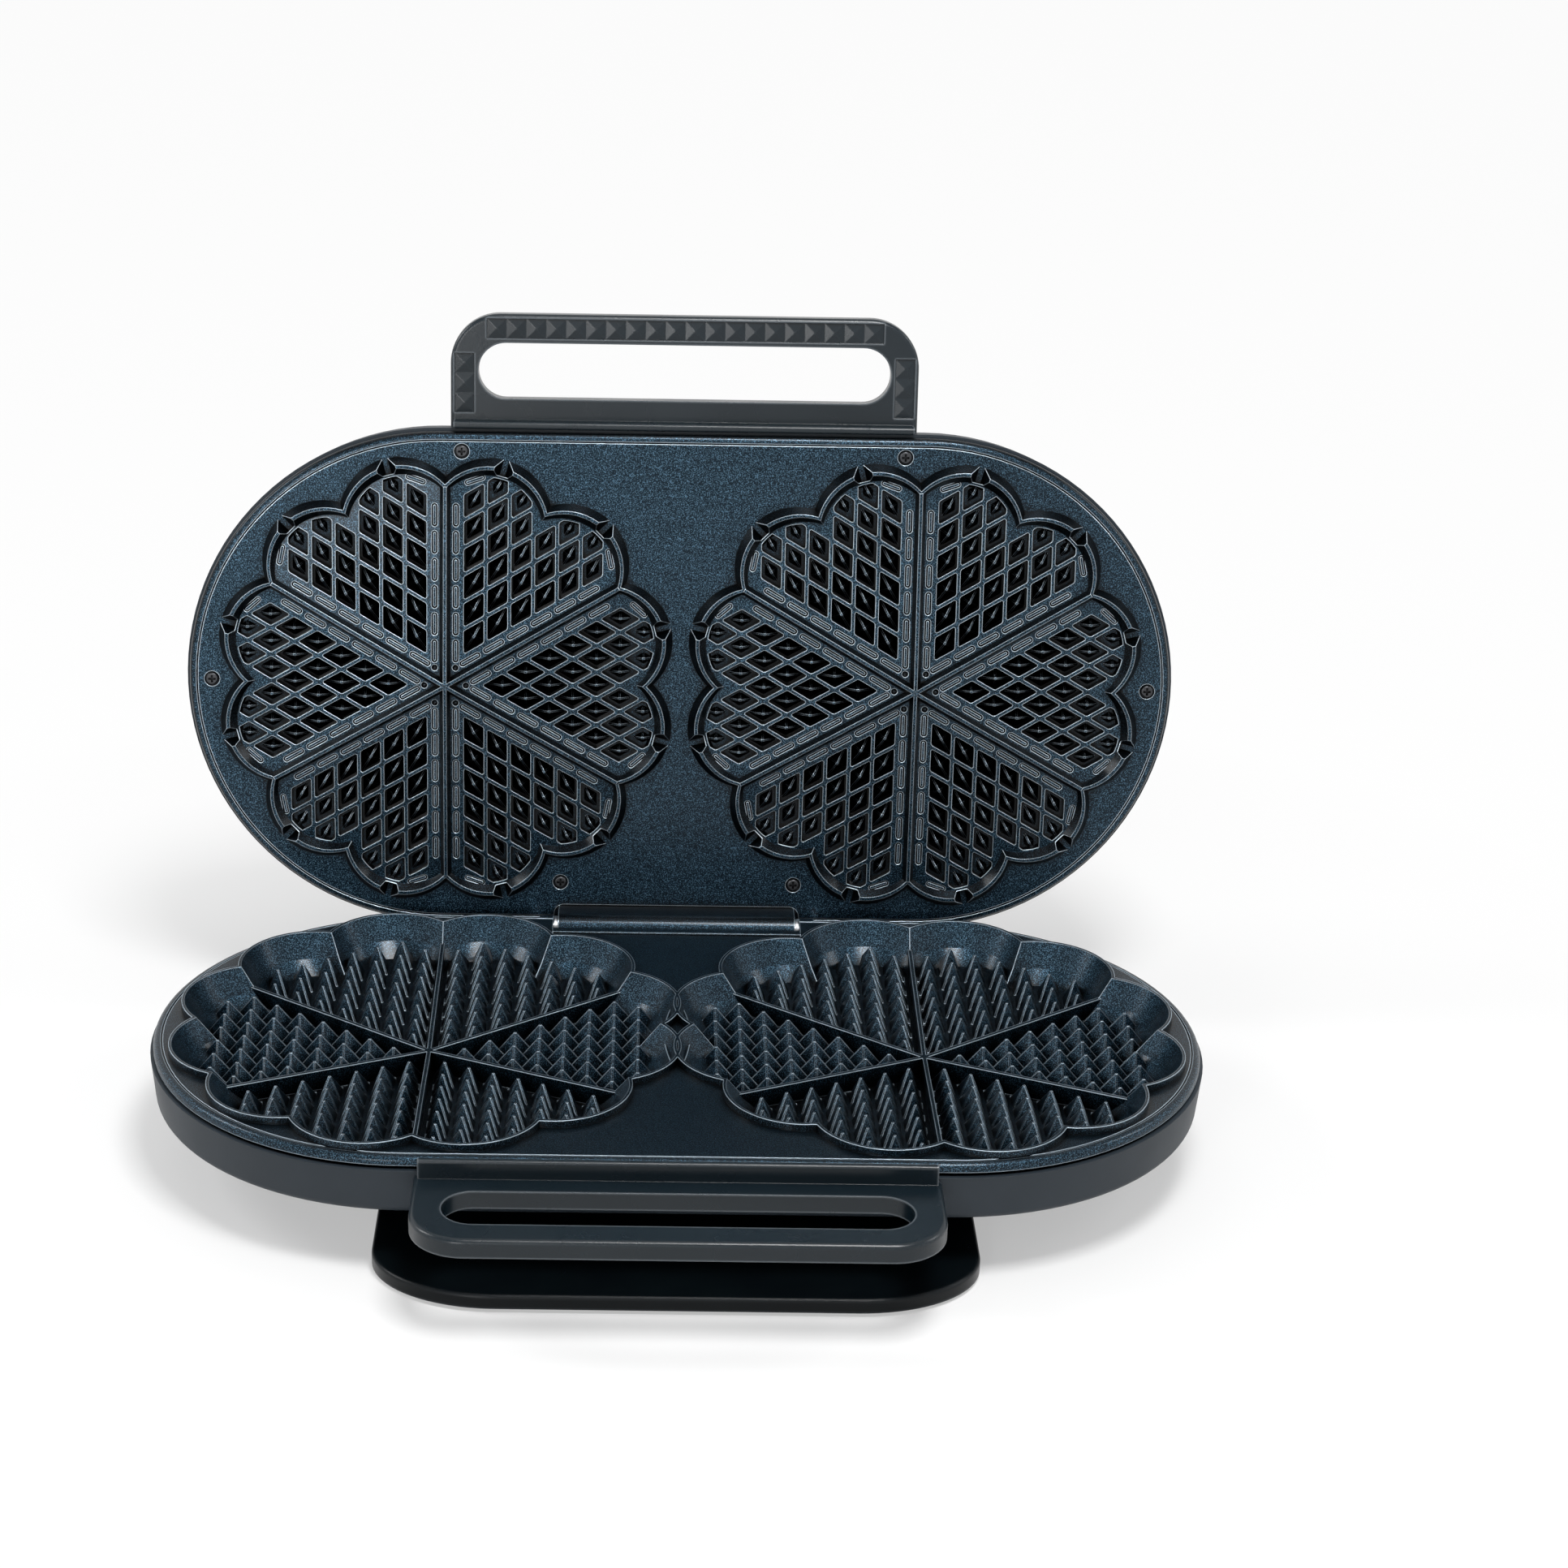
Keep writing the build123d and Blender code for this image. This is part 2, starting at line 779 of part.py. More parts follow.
def slot_tool(place, heading, length, width):
    """Groove round a small raised bar."""
    well = extrude(SlotOverall(length, width), amount=slot_depth + cut_over)
    bar = extrude(SlotOverall(length - width + slot_bar_width, slot_bar_width), amount=slot_bar_height)
    tool = Pos(0, 0, -cut_over) * well - Pos(0, 0, slot_depth - slot_bar_height) * bar
    return Pos(place.X, place.Y, lattice_height(level_reach(place))) * (Rot(0, 0, heading) * tool)


def upper_divider():
    """Sloping divider with a narrow top, from the flower's centre to its ridge."""
    end = lattice_apex_radius - divider_end_inset
    sections = []
    for radius in (0.0, end):
        low = lattice_height(radius) + embed
        top = divider_height(radius)
        base = divider_base_width / 2
        crest = divider_top_width / 2
        corners = [(radius, -base, low), (radius, base, low), (radius, crest, top), (radius, -crest, top)]
        sections.append(Wire.make_polygon([Vector(*corner) for corner in corners]))
    return Rot(0, 0, lobe_angle) * Solid.make_loft(sections, ruled=True)


def vent_tool():
    """Flared gap through the ridge at the top of one lobe."""
    inner = lattice_apex_radius
    outer = ridge_apex_radius + cut_over
    top = lid_flat - ridge_height - cut_over
    foot = vent_width / 2
    mouth = vent_width / 2 + vent_flare
    outline = Polyline([(-foot, lid_flat), (foot, lid_flat), (mouth, top), (-mouth, top)], close=True)
    tool = extrude(Plane.YZ * make_face(outline), amount=outer - inner)
    return Pos(inner, 0, 0) * tool


def hinge_web():
    """Web and barrel that carry the lid on the pin, with the bore and the seats of the bushes."""
    half = barrel_length / 2
    front = hinge_step_front + hinge_web_inset
    outline = Polyline(
        [
            (front, lid_sheet_back),
            (front, lid_flat),
            (hinge_back - barrel_diameter / 2, hinge_z),
            (hinge_back + barrel_diameter / 2, hinge_z),
            (plate_radius, lid_sheet_back),
        ],
        close=True,
    )
    web = extrude(Plane.YZ * make_face(outline), amount=half, both=True)
    web = web + along_hinge(barrel_diameter / 2, -half, half)
    bore = along_hinge(pin_diameter / 2 + bore_clearance, -2 * half, 2 * half)
    seats = []
    for side in (-1, 1):
        ends = sorted([side * (half + cut_over), side * (half - bush_length)])
        seats.append(along_hinge(bush_outer_radius() + thread_clearance, *ends))
    return web.cut(bore, *seats)


def upper_plate_solid():
    window = flower_prism(
        ridge_notch_radius - embed, ridge_apex_radius - embed, lid_flat - cut_over, upper_back + cut_over
    )
    step = box_between(
        -hinge_recess_half,
        hinge_recess_half,
        hinge_step_front,
        2 * casing_radius,
        lid_flat - cut_over,
        lid_flat + hinge_step_depth,
    )
    step = fillet(step.edges().filter_by(Axis.Z).group_by(Axis.Y)[0], hinge_recess_corner)
    holes = []
    for x, y in upper_screws():
        recess = lid_flat + plate_screw_head_height - plate_screw_proud
        holes.append(cylinder_between(plate_screw_recess / 2, lid_flat - cut_over, recess, x, y))
        through = plate_screw_diameter / 2 + through_clearance
        holes.append(cylinder_between(through, lid_flat - cut_over, lid_sheet_back + cut_over, x, y))
    sheet = plate_sheet_solid().mirror(Plane.XY.offset((plate_flat + lid_flat) / 2))
    sheet = sheet.cut(step, *holes, *both_flowers([window]))

    posts = []
    top = upper_back + heater_diameter
    tip = top + clamp_thickness + reflector_thickness - clamp_screw_length - embed
    for x in clamp_places():
        posts.append(post_solid(x, 0, top, upper_back - embed, small_screw_diameter, tip))
    return sheet.fuse(hinge_web(), *both_flowers([flower_block()]), *posts).solid()


def bush_outer_radius():
    return pin_diameter / 2 + pin_clearance + bush_wall


def upper_screws():
    places = []
    for x, y in upper_screw_places:
        places += [(x, y), (-x, y)]
    return places


# Casings


def shell_outer_points():
    return [(0, stand_top), (shell_bottom_radius, stand_top), (casing_foot_radius, shell_lower_edge)]


def base_shell_outer():
    points = shell_outer_points() + [(casing_radius, casing_edge), (0, casing_edge)]
    rounds = [
        (casing_foot_radius, shell_lower_edge, shell_edge_round),
        (shell_bottom_radius, stand_top, shell_foot_round),
    ]
    return stadium_solid(section_face(points, rounds))


def base_shell_inner():
    lean = casing_draft / shell_wall_height
    points = [
        (0, stand_top + casing_wall),
        (shell_bottom_radius - casing_wall * inner_floor_inset_ratio, stand_top + casing_wall),
        (casing_foot_radius - casing_wall, shell_lower_edge + casing_wall * inner_foot_lift_ratio),
        (casing_radius - casing_wall + lean * cut_over, casing_edge + cut_over),
        (0, casing_edge + cut_over),
    ]
    return stadium_solid(section_face(points))


def handle_screw_axis_height():
    return casing_edge - handle_below_casing_edge - handle_thickness / 2


def base_shell_solid():
    shell = base_shell_outer() - base_shell_inner()
    floor = stand_top + embed
    bosses = []
    holes = []
    for x, y in lower_post_places:
        bosses.append(cylinder_between(boss_diameter / 2, floor, post_split, x, y))
        through = casing_screw_diameter / 2 + through_clearance
        holes.append(cylinder_between(through, stand_top, post_split + cut_over, x, y))
        head = casing_screw_head / 2 + head_clearance
        holes.append(cylinder_between(head, stand_top - cut_over, stand_top + counterbore_depth, x, y))
    for x, y in stand_screw_places:
        top = stand_top + casing_wall + small_screw_length
        bosses.append(cylinder_between(small_boss / 2, floor, top, x, y))
        holes.append(screw_hole(small_screw_diameter, stand_top - cut_over, top - blind_margin, x, y))
    shell = shell.fuse(*bosses)
    for x in handle_screw_places:
        hole = Cylinder(casing_screw_diameter / 2 + through_clearance, wall_hole_length)
        holes.append(Pos(x, -casing_radius, handle_screw_axis_height()) * (Rot(90, 0, 0) * hole))
    notch_half = hinge_recess_half + ear_thickness + clip_thickness + pin_end + barrel_clearance
    notch_bottom = hinge_z - barrel_diameter / 2 - barrel_clearance
    holes.append(
        box_between(-notch_half, notch_half, hinge_recess_front, 2 * casing_radius, notch_bottom, rim_top)
    )
    gland = Cylinder(gland_diameter / 2 + through_clearance, wall_hole_length)
    holes.append(Pos(gland_x, casing_radius, gland_height()) * (Rot(90, 0, 0) * gland))
    return shell.cut(*holes).solid()


def gland_height():
    return (shell_lower_edge + casing_edge) / 2


def lid_cover_profile(inset):
    """Section of the lid casing, moved inwards by a wall."""
    shoulder_r = casing_foot_radius - dome_shoulder_inset - inset * inner_shoulder_ratio
    shoulder_z = lid_shoulder - inset * inner_drop_ratio
    top = lid_top - inset
    rise = top - shoulder_z
    dome_radius = (shoulder_r ** 2 + rise ** 2) / (2 * rise)
    middle_r = shoulder_r / 2
    middle_z = top - dome_radius + math.sqrt(dome_radius ** 2 - middle_r ** 2)
    dome = ThreePointArc((0, 0, top), (0, -middle_r, middle_z), (0, -shoulder_r, shoulder_z))
    over = cut_over if inset else 0.0
    edge_r = casing_radius - inset
    wall_r = casing_foot_radius - inset
    wall_z = lid_wall_top - inset * inner_wall_drop_ratio
    sides = Polyline(
        [
            (0, -shoulder_r, shoulder_z),
            (0, -wall_r, wall_z),
            (0, -edge_r - over * casing_draft / shell_wall_height, lid_casing_edge - over),
            (0, 0, lid_casing_edge - over),
            (0, 0, top),
        ]
    )
    face = make_face(dome.edges() + sides.edges())
    if not inset:
        for r, z in ((shoulder_r, shoulder_z), (wall_r, wall_z)):
            corner = face.vertices().sort_by_distance((0, -r, z))[0]
            face = fillet(corner, shoulder_round)
    return face


def dome_height(radius):
    """Height of the lid's outer face at a distance from its long middle line."""
    shoulder_r = casing_foot_radius - dome_shoulder_inset
    dome_radius = (shoulder_r ** 2 + dome_rise ** 2) / (2 * dome_rise)
    return lid_top - dome_radius + math.sqrt(dome_radius ** 2 - radius ** 2)


def knob_pad_top():
    return dome_height(abs(knob_y)) + knob_pad_rise


def bracket_top():
    return dome_height(abs(knob_y)) - bracket_depth_below_dome


def light_holder_top():
    return dome_height(abs(light_y)) - light_depth


def lid_outer():
    return stadium_solid(lid_cover_profile(0.0))


def lid_cover_solid():
    outer = lid_outer()
    cover = outer - stadium_solid(lid_cover_profile(casing_wall))
    bosses = []
    for x, y in upper_screws():
        boss = cylinder_between(boss_diameter / 2, lid_sheet_back, lid_top, x, y)
        skin = cylinder_between(boss_diameter / 2 + boss_skin, lid_flat, lid_casing_edge, x, y)
        bosses.append((boss & outer).solid() + (boss & skin).solid())
    for x in (-bracket_screw_spacing / 2, bracket_screw_spacing / 2):
        bosses.append((cylinder_between(small_boss / 2, bracket_top(), lid_top, x, knob_y) & outer).solid())
    bosses.append((cylinder_between(small_boss / 2, light_holder_top(), lid_top, 0, light_y) & outer).solid())
    pad_foot = dome_height(abs(knob_y)) - casing_wall
    pad = cylinder_between(knob_pad_diameter / 2, pad_foot, knob_pad_top(), 0, knob_y)
    cover = cover.fuse(*bosses, pad)
    holes = []
    for x, y in upper_screws():
        top = lid_sheet_back + plate_screw_length
        holes.append(screw_hole(plate_screw_diameter, lid_sheet_back - cut_over, top, x, y))
    for x in (-bracket_screw_spacing / 2, bracket_screw_spacing / 2):
        top = bracket_top() + small_screw_length
        holes.append(screw_hole(small_screw_diameter, bracket_top() - cut_over, top, x, knob_y))
    top = light_holder_top() + small_screw_length
    holes.append(screw_hole(small_screw_diameter, light_holder_top() - cut_over, top, 0, light_y))
    spindle = spindle_diameter / 2 + through_clearance
    holes.append(cylinder_between(spindle, bracket_top(), knob_pad_top() + cut_over, 0, knob_y))
    for x in (-light_spacing / 2, light_spacing / 2):
        lens = light_diameter / 2 + through_clearance
        holes.append(cylinder_between(lens, light_holder_top(), lid_top + cut_over, x, light_y))
    for x in handle_screw_places:
        hole = Cylinder(casing_screw_diameter / 2 + through_clearance, wall_hole_length)
        holes.append(Pos(x, -casing_radius, lid_handle_axis_height()) * (Rot(90, 0, 0) * hole))
    return cover.cut(*holes).solid()


def lid_handle_axis_height():
    return 2 * mirror_height - handle_screw_axis_height()


# Handles


def handle_solid(casing, grip):
    """Loop handle drawn for the base: slab with a finger slot and an upright flange."""
    top = casing_edge - handle_below_casing_edge
    bottom = top - handle_thickness
    outer = -casing_radius - handle_reach
    inner = -casing_radius + casing_wall
    half = handle_width / 2
    slab = box_between(-half, half, outer, inner, bottom, top)
    corners = slab.edges().filter_by(Axis.Z).group_by(Axis.Y)[0]
    slab = fillet(corners, handle_corner)
    rim = slab.faces().sort_by(Axis.Z)[-1].edges().sort_by(Axis.Y)[:-1]
    slab = fillet(rim, handle_edge_round)
    slot_y = -casing_radius - slot_inner_margin - finger_slot_width / 2
    slot = Pos(0, slot_y, bottom - cut_over) * extrude(
        SlotOverall(finger_slot_length, finger_slot_width), amount=handle_thickness + 2 * cut_over
    )
    slab = slab - slot
    flange = box_between(
        -flange_width / 2,
        flange_width / 2,
        -casing_radius - flange_thickness,
        -casing_radius,
        bottom,
        top + flange_rise,
    )
    crown = flange.edges().group_by(Axis.Z)[-1].filter_by(Axis.X)
    flange = fillet(crown, flange_thickness * flange_round_ratio)
    handle = slab + flange
    if grip:
        handle = handle - grip_tool(top)
    handle = handle - casing
    holes = []
    for x in handle_screw_places:
        reach = handle_screw_length + blind_margin - casing_wall
        hole = Cylinder(casing_screw_diameter / 2 + thread_clearance, 2 * reach)
        holes.append(Pos(x, -casing_radius, handle_screw_axis_height()) * (Rot(90, 0, 0) * hole))
    return handle.cut(*holes).solid()


def grip_tool(top):
    """Recess of faceted squares along the outer side and both ends of the slab."""
    middle_y = -casing_radius - (slot_inner_margin + finger_slot_width + handle_reach) / 2
    middle_x = (finger_slot_length + handle_width) / 4
    places = []
    steps = int(2 * (middle_x - grip_square) / grip_square)
    for i in range(steps):
        places.append(((i - (steps - 1) / 2) * grip_square, middle_y))
    for side in (-1, 1):
        for i in range(grip_side_count):
            places.append((side * middle_x, middle_y + (i + grip_side_first) * grip_square))
    tools = []
    for x, y in places:
        well = box_between(
            x - grip_square / 2, x + grip_square / 2, y - grip_square / 2, y + grip_square / 2,
            top - grip_recess, top + cut_over,
        )
        low = top - grip_recess
        rings = []
        for side, height in ((grip_square, low), (grip_facet_tip, low + grip_facet_height)):
            half = side / 2
            corners = [(-half, -half), (half, -half), (half, half), (-half, half)]
            rings.append([Vector(x + across, y + along, height) for across, along in corners])
        tools.append(well - faceted(rings))
    return tools


def flip_to_lid(shape):
    """Mirrors a base piece to its place on the closed lid."""
    return shape.mirror(Plane.XY.offset(mirror_height))


# Stand and feet


def stand_outline(inset):
    half = stand_width / 2 - inset
    front = -stand_front + inset
    rear = stand_rear - inset
    rx = stand_corner_x - inset
    ry = stand_corner_y - inset
    corners = [(half - rx, front + ry, 270), (half - rx, rear - ry, 0)]
    corners += [(-half + rx, rear - ry, 90), (-half + rx, front + ry, 180)]
    edges = []
    previous = None
    first = None
    for x, y, start in corners:
        arc = EllipticalCenterArc((x, y), rx, ry, start_angle=start, arc_size=90)
        if previous is not None:
            edges.append(Line(previous, arc @ 0))
        else:
            first = arc @ 0
        edges.append(arc)
        previous = arc @ 1
    edges.append(Line(previous, first))
    return make_face(edges)


def foot_places():
    return [(-foot_x, -foot_front_y), (foot_x, -foot_front_y), (-foot_x, foot_rear_y), (foot_x, foot_rear_y)]


def stand_solid():
    stand = Pos(0, 0, foot_proud) * extrude(stand_outline(0.0), amount=stand_thickness)
    stand = fillet(stand.edges().group_by(Axis.Z)[-1], stand_edge_round)
    pocket = extrude(stand_outline(stand_rim), amount=foot_proud + stand_pocket_depth)
    pads = []
    for x, y in foot_places():
        pads.append(cylinder_between(foot_diameter / 2 + pad_wall, 0.0, stand_top, x, y))
    for x, y in stand_screw_places:
        seat = foot_proud + stand_screw_recess
        pads.append(cylinder_between(small_screw_head / 2 + pad_wall, seat, stand_top, x, y))
    stand = stand - (pocket - pads)
    holes = []
    for x, y in foot_places():
        pocket_radius = foot_diameter / 2 + head_clearance
        holes.append(cylinder_between(pocket_radius, 0.0, foot_proud + foot_recess, x, y))
    for x, y in stand_screw_places:
        through = small_screw_diameter / 2 + through_clearance
        holes.append(cylinder_between(through, 0.0, stand_top + cut_over, x, y))
    return stand.cut(*holes).solid()


def feet():
    pads = []
    for x, y in foot_places():
        pad = cylinder_between(foot_diameter / 2, 0.0, foot_proud + foot_recess, x, y)
        pads.append(fillet(pad.edges().group_by(Axis.Z)[0], foot_edge_round).solid())
    return pads


def stand_screws():
    seat = foot_proud + stand_screw_recess
    one = small_screw(small_screw_length + stand_thickness - stand_screw_recess - stand_screw_inset)
    return [Pos(x, y, seat) * one for x, y in stand_screw_places]


# Hinge pieces


def clip_groove(side):
    """The two ends of one clip's groove along the pin, in rising order."""
    near = hinge_recess_half + ear_thickness + clip_play
    return sorted([side * near, side * (near + clip_thickness + 2 * clip_groove_clearance)])


def hinge_pin_solid():
    end = clip_groove(1)[1] + pin_end
    pin = along_hinge(pin_diameter / 2, -end, end)
    for side in (-1, 1):
        lo, hi = clip_groove(side)
        ring = along_hinge(pin_diameter, lo, hi) - along_hinge(pin_diameter / 2 - clip_groove_depth, lo, hi)
        pin = pin - ring
    return pin.solid()


def hinge_clips():
    clips = []
    for side in (-1, 1):
        groove = clip_groove(side)
        lo = groove[0] + clip_groove_clearance
        hi = groove[1] - clip_groove_clearance
        bore = pin_diameter / 2 - clip_groove_depth + thread_clearance
        ring = along_hinge(clip_diameter / 2, lo, hi) - along_hinge(bore, lo, hi)
        mouth = bore * clip_mouth_ratio
        gap = box_between(
            lo - cut_over,
            hi + cut_over,
            hinge_back - mouth,
            hinge_back + mouth,
            hinge_z - clip_diameter,
            hinge_z,
        )
        clips.append((ring - gap).solid())
    return clips


def hinge_washers():
    washers = []
    for side in (-1, 1):
        middle = side * (barrel_length / 2 + hinge_recess_half) / 2
        ring = along_hinge(washer_diameter / 2, middle - washer_thickness / 2, middle + washer_thickness / 2)
        bore_radius = pin_diameter / 2 + pin_clearance
        bore = along_hinge(bore_radius, middle - washer_thickness, middle + washer_thickness)
        washers.append((ring - bore).solid())
    return washers


def hinge_bushes():
    bushes = []
    for side in (-1, 1):
        a = side * barrel_length / 2
        b = side * (barrel_length / 2 - bush_length)
        lo, hi = min(a, b), max(a, b)
        bore = along_hinge(pin_diameter / 2 + pin_clearance, lo, hi)
        bush = along_hinge(bush_outer_radius(), lo, hi) - bore
        bushes.append(bush.solid())
    return bushes


# Heating pieces, drawn for one side of the base or lid


def heater_solid(side, middle_z):
    """Hairpin tube with its legs towards the middle of the appliance and a terminal pin on each leg."""
    bend_x = side * (flower_x + heater_bend_offset)
    tip_x = bend_x - side * heater_leg
    start = (tip_x, heater_bend_radius, middle_z)
    first = (bend_x, heater_bend_radius, middle_z)
    far = (bend_x + side * heater_bend_radius, 0, middle_z)
    second = (bend_x, -heater_bend_radius, middle_z)
    end = (tip_x, -heater_bend_radius, middle_z)
    path = Wire([Line(start, first), ThreePointArc(first, far, second), Line(second, end)])
    section = Plane(origin=start, z_dir=(side, 0, 0)) * Circle(heater_diameter / 2)
    tube = sweep(section, path=path)
    pins = []
    for y in (-heater_bend_radius, heater_bend_radius):
        pin = Rot(0, 90, 0) * Cylinder(heater_pin_diameter / 2, heater_pin_length + embed)
        x = tip_x - side * (heater_pin_length - embed) / 2
        pins.append(Pos(x, y, middle_z) * pin)
    return tube.fuse(*pins).solid()


def clamp_screw_way(side, z0, z1):
    radius = small_screw_diameter / 2 + through_clearance
    return cylinder_between(radius, z0 - cut_over, z1 + cut_over, side * clamp_places()[1], 0)


def clamp_solid(side, z0, z1):
    x = side * clamp_places()[1]
    bar = box_between(x - clamp_width / 2, x + clamp_width / 2, -clamp_length / 2, clamp_length / 2, z0, z1)
    bar = fillet(bar.edges().filter_by(Axis.Z), clamp_width * clamp_corner_ratio)
    return (bar - clamp_screw_way(side, z0, z1)).solid()


def reflector_solid(side, z0, z1):
    x = side * flower_x
    disc = cylinder_between(reflector_radius, z0, z1, x, 0)
    hole = cylinder_between(reflector_hole / 2, z0 - cut_over, z1 + cut_over, x, 0)
    return (disc - hole - clamp_screw_way(side, z0, z1)).solid()


def both_sides(maker, *sizes):
    return [maker(side, *sizes) for side in (-1, 1)]


def small_screw(length):
    return screw(small_screw_diameter, length, small_screw_head, small_screw_head_height)


def lower_clamp_screws():
    seat = bowl_under - heater_diameter - clamp_thickness - reflector_thickness
    one = small_screw(clamp_screw_length)
    return [Pos(side * clamp_places()[1], 0, seat) * one for side in (-1, 1)]


def upper_clamp_screws():
    seat = upper_back + heater_diameter + clamp_thickness + reflector_thickness
    one = Rot(180, 0, 0) * small_screw(clamp_screw_length)
    return [Pos(side * clamp_places()[1], 0, seat) * one for side in (-1, 1)]


# Electrical pieces


def terminal_block_solid():
    floor = stand_top + casing_wall
    block = box_between(
        -terminal_length / 2, terminal_length / 2, -terminal_depth / 2, terminal_depth / 2, floor,
        floor + terminal_height,
    )
    cups = []
    top = floor + terminal_height
    for x in (-terminal_pitch, 0.0, terminal_pitch):
        cups.append(cylinder_between(terminal_cup / 2, top - terminal_cup_depth, top + cut_over, x, 0))
    return block.cut(*cups).solid()


def leads():
    """Formed leads from the heater pins to the terminal block."""
    floor = stand_top + casing_wall
    low = floor + terminal_height / 2
    high = bowl_under - heater_diameter / 2
    pin_x = flower_x + heater_bend_offset - heater_leg - heater_pin_length
    turn_x = terminal_length / 2 + lead_bend + lead_straight
    found = []
    for side in (-1, 1):
        for hand in (-1, 1):
            y0 = hand * heater_bend_radius
            y1 = hand * terminal_depth * lead_entry_ratio
            points = [
                (side * pin_x, y0, high),
                (side * turn_x, y0, high),
                (side * turn_x, y1, low),
                (side * terminal_length / 2, y1, low),
            ]
            path = FilletPolyline(*points, radius=lead_bend)
            section = Plane(origin=points[0], z_dir=(-side, 0, 0)) * Circle(lead_diameter / 2)
            found.append(sweep(section, path=path).solid())
    return found


def fuse_solid():
    x = -flower_x - fuse_length
    y = heater_bend_radius / 2
    body = Pos(x, y, bowl_under - fuse_height / 2) * Box(fuse_length, fuse_width, fuse_height)
    return fillet(body.edges().filter_by(Axis.X).group_by(Axis.Z)[0], fuse_height * fuse_round_ratio).solid()


def gland_solid():
    """Bushing of the mains cord in the rear wall."""
    outer = casing_radius + wall_clearance
    inner = casing_foot_radius - casing_wall - 2 * wall_clearance
    profile = [
        (gland_bore / 2, inner - gland_inner_flange),
        (gland_flange / 2 - gland_inner_inset, inner - gland_inner_flange),
        (gland_flange / 2 - gland_inner_inset, inner),
        (gland_diameter / 2, inner),
        (gland_diameter / 2, outer),
        (gland_flange / 2, outer),
        (gland_flange / 2, outer + gland_flange_thickness),
        (gland_bore / 2, outer + gland_flange_thickness),
    ]
    face = make_face(Polyline([(0, y, r) for r, y in profile], close=True))
    return (Pos(gland_x, 0, gland_height()) * revolve(face, Axis.Y, 360)).solid()


# Lid top pieces


def thermostat_solid():
    top = bracket_top() - bracket_thickness
    body = Pos(0, knob_y, top - thermostat_height / 2) * Box(
        thermostat_length, thermostat_depth, thermostat_height
    )
    return fillet(body.edges().filter_by(Axis.Z), thermostat_corner).solid()


def bracket_solid():
    top = bracket_top()
    bar = Pos(0, knob_y, top - bracket_thickness / 2) * Box(bracket_length, bracket_width, bracket_thickness)
    low = top - bracket_thickness - cut_over
    high = top + cut_over
    holes = [cylinder_between(spindle_diameter / 2 + through_clearance, low, high, 0, knob_y)]
    for x in (-bracket_screw_spacing / 2, bracket_screw_spacing / 2):
        holes.append(cylinder_between(small_screw_diameter / 2 + through_clearance, low, high, x, knob_y))
    return bar.cut(*holes).solid()


def bracket_screws():
    one = small_screw(small_screw_length - blind_margin)
    seat = bracket_top() - bracket_thickness
    return [Pos(x, knob_y, seat) * one for x in (-bracket_screw_spacing / 2, bracket_screw_spacing / 2)]


def light_lens(side):
    x = side * light_spacing / 2
    base = light_holder_top()
    stem = cylinder_between(light_diameter / 2, base, dome_height(abs(light_y)) + light_proud, x, light_y)
    return fillet(stem.edges().group_by(Axis.Z)[-1], light_edge_round).solid()


def light_holder_solid():
    top = light_holder_top()
    bar = Pos(0, light_y, top - light_holder_thickness / 2) * Box(
        light_holder_length, light_holder_width, light_holder_thickness
    )
    low = top - light_holder_thickness - cut_over
    hole = cylinder_between(small_screw_diameter / 2 + through_clearance, low, top + cut_over, 0, light_y)
    return (fillet(bar.edges().filter_by(Axis.Z), light_holder_corner) - hole).solid()


def light_screw():
    one = small_screw(light_holder_thickness + small_screw_length - blind_margin)
    return Pos(0, light_y, light_holder_top() - light_holder_thickness) * one


def knob_solid():
    base = knob_pad_top() + knob_gap
    skirt = cylinder_between(knob_diameter / 2, base, base + knob_skirt_height, 0, knob_y)
    skirt = fillet(skirt.edges().group_by(Axis.Z)[-1], knob_skirt_round)
    grip = Pos(0, knob_y, base + (knob_height + embed) / 2) * Box(
        knob_grip_width, knob_diameter - 2 * knob_grip_inset, knob_height - embed
    )
    grip = fillet(grip.edges().filter_by(Axis.Z), knob_grip_width * knob_grip_end_ratio)
    grip = fillet(grip.edges().group_by(Axis.Z)[-1], knob_grip_round)
    bore = spindle_diameter / 2 + thread_clearance
    hole = cylinder_between(bore, base - cut_over, base + spindle_in_knob, 0, knob_y)
    return (skirt + grip - hole).solid()


def spindle_solid():
    bottom = bracket_top() - bracket_thickness + spindle_end_gap
    top = knob_pad_top() + knob_gap + spindle_in_knob
    return cylinder_between(spindle_diameter / 2, bottom, top, 0, knob_y).solid()


# Screws in place


def lower_plate_screws():
    one = screw(casing_screw_diameter, casing_screw_length, casing_screw_head, casing_screw_head_height)
    return [Pos(x, y, stand_top + counterbore_depth) * one for x, y in lower_post_places]


def upper_plate_screws():
    length = plate_screw_length - blind_margin
    one = screw(plate_screw_diameter, length, plate_screw_head, plate_screw_head_height, True)
    seat = lid_flat + plate_screw_head_height - plate_screw_proud
    return [Pos(x, y, seat) * one for x, y in upper_screws()]


def handle_screws(height, edge_distance):
    """Handle screws seated on the inside of a casing's leaning wall."""
    one = screw(casing_screw_diameter, handle_screw_length, casing_screw_head, casing_screw_head_height)
    run = shell_wall_height - casing_wall * inner_foot_lift_ratio
    lean = casing_draft * (edge_distance + casing_screw_head / 2) / run
    seat = -(casing_radius - casing_wall - lean - wall_clearance)
    return [Pos(x, seat, height) * (Rot(90, 0, 0) * one) for x in handle_screw_places]


def base_handle_screws():
    height = handle_screw_axis_height()
    return handle_screws(height, casing_edge - height)


def lid_handle_screws():
    height = lid_handle_axis_height()
    return handle_screws(height, height - lid_casing_edge)


# Assembly

base_casing = base_shell_outer()
lid_casing = lid_outer()

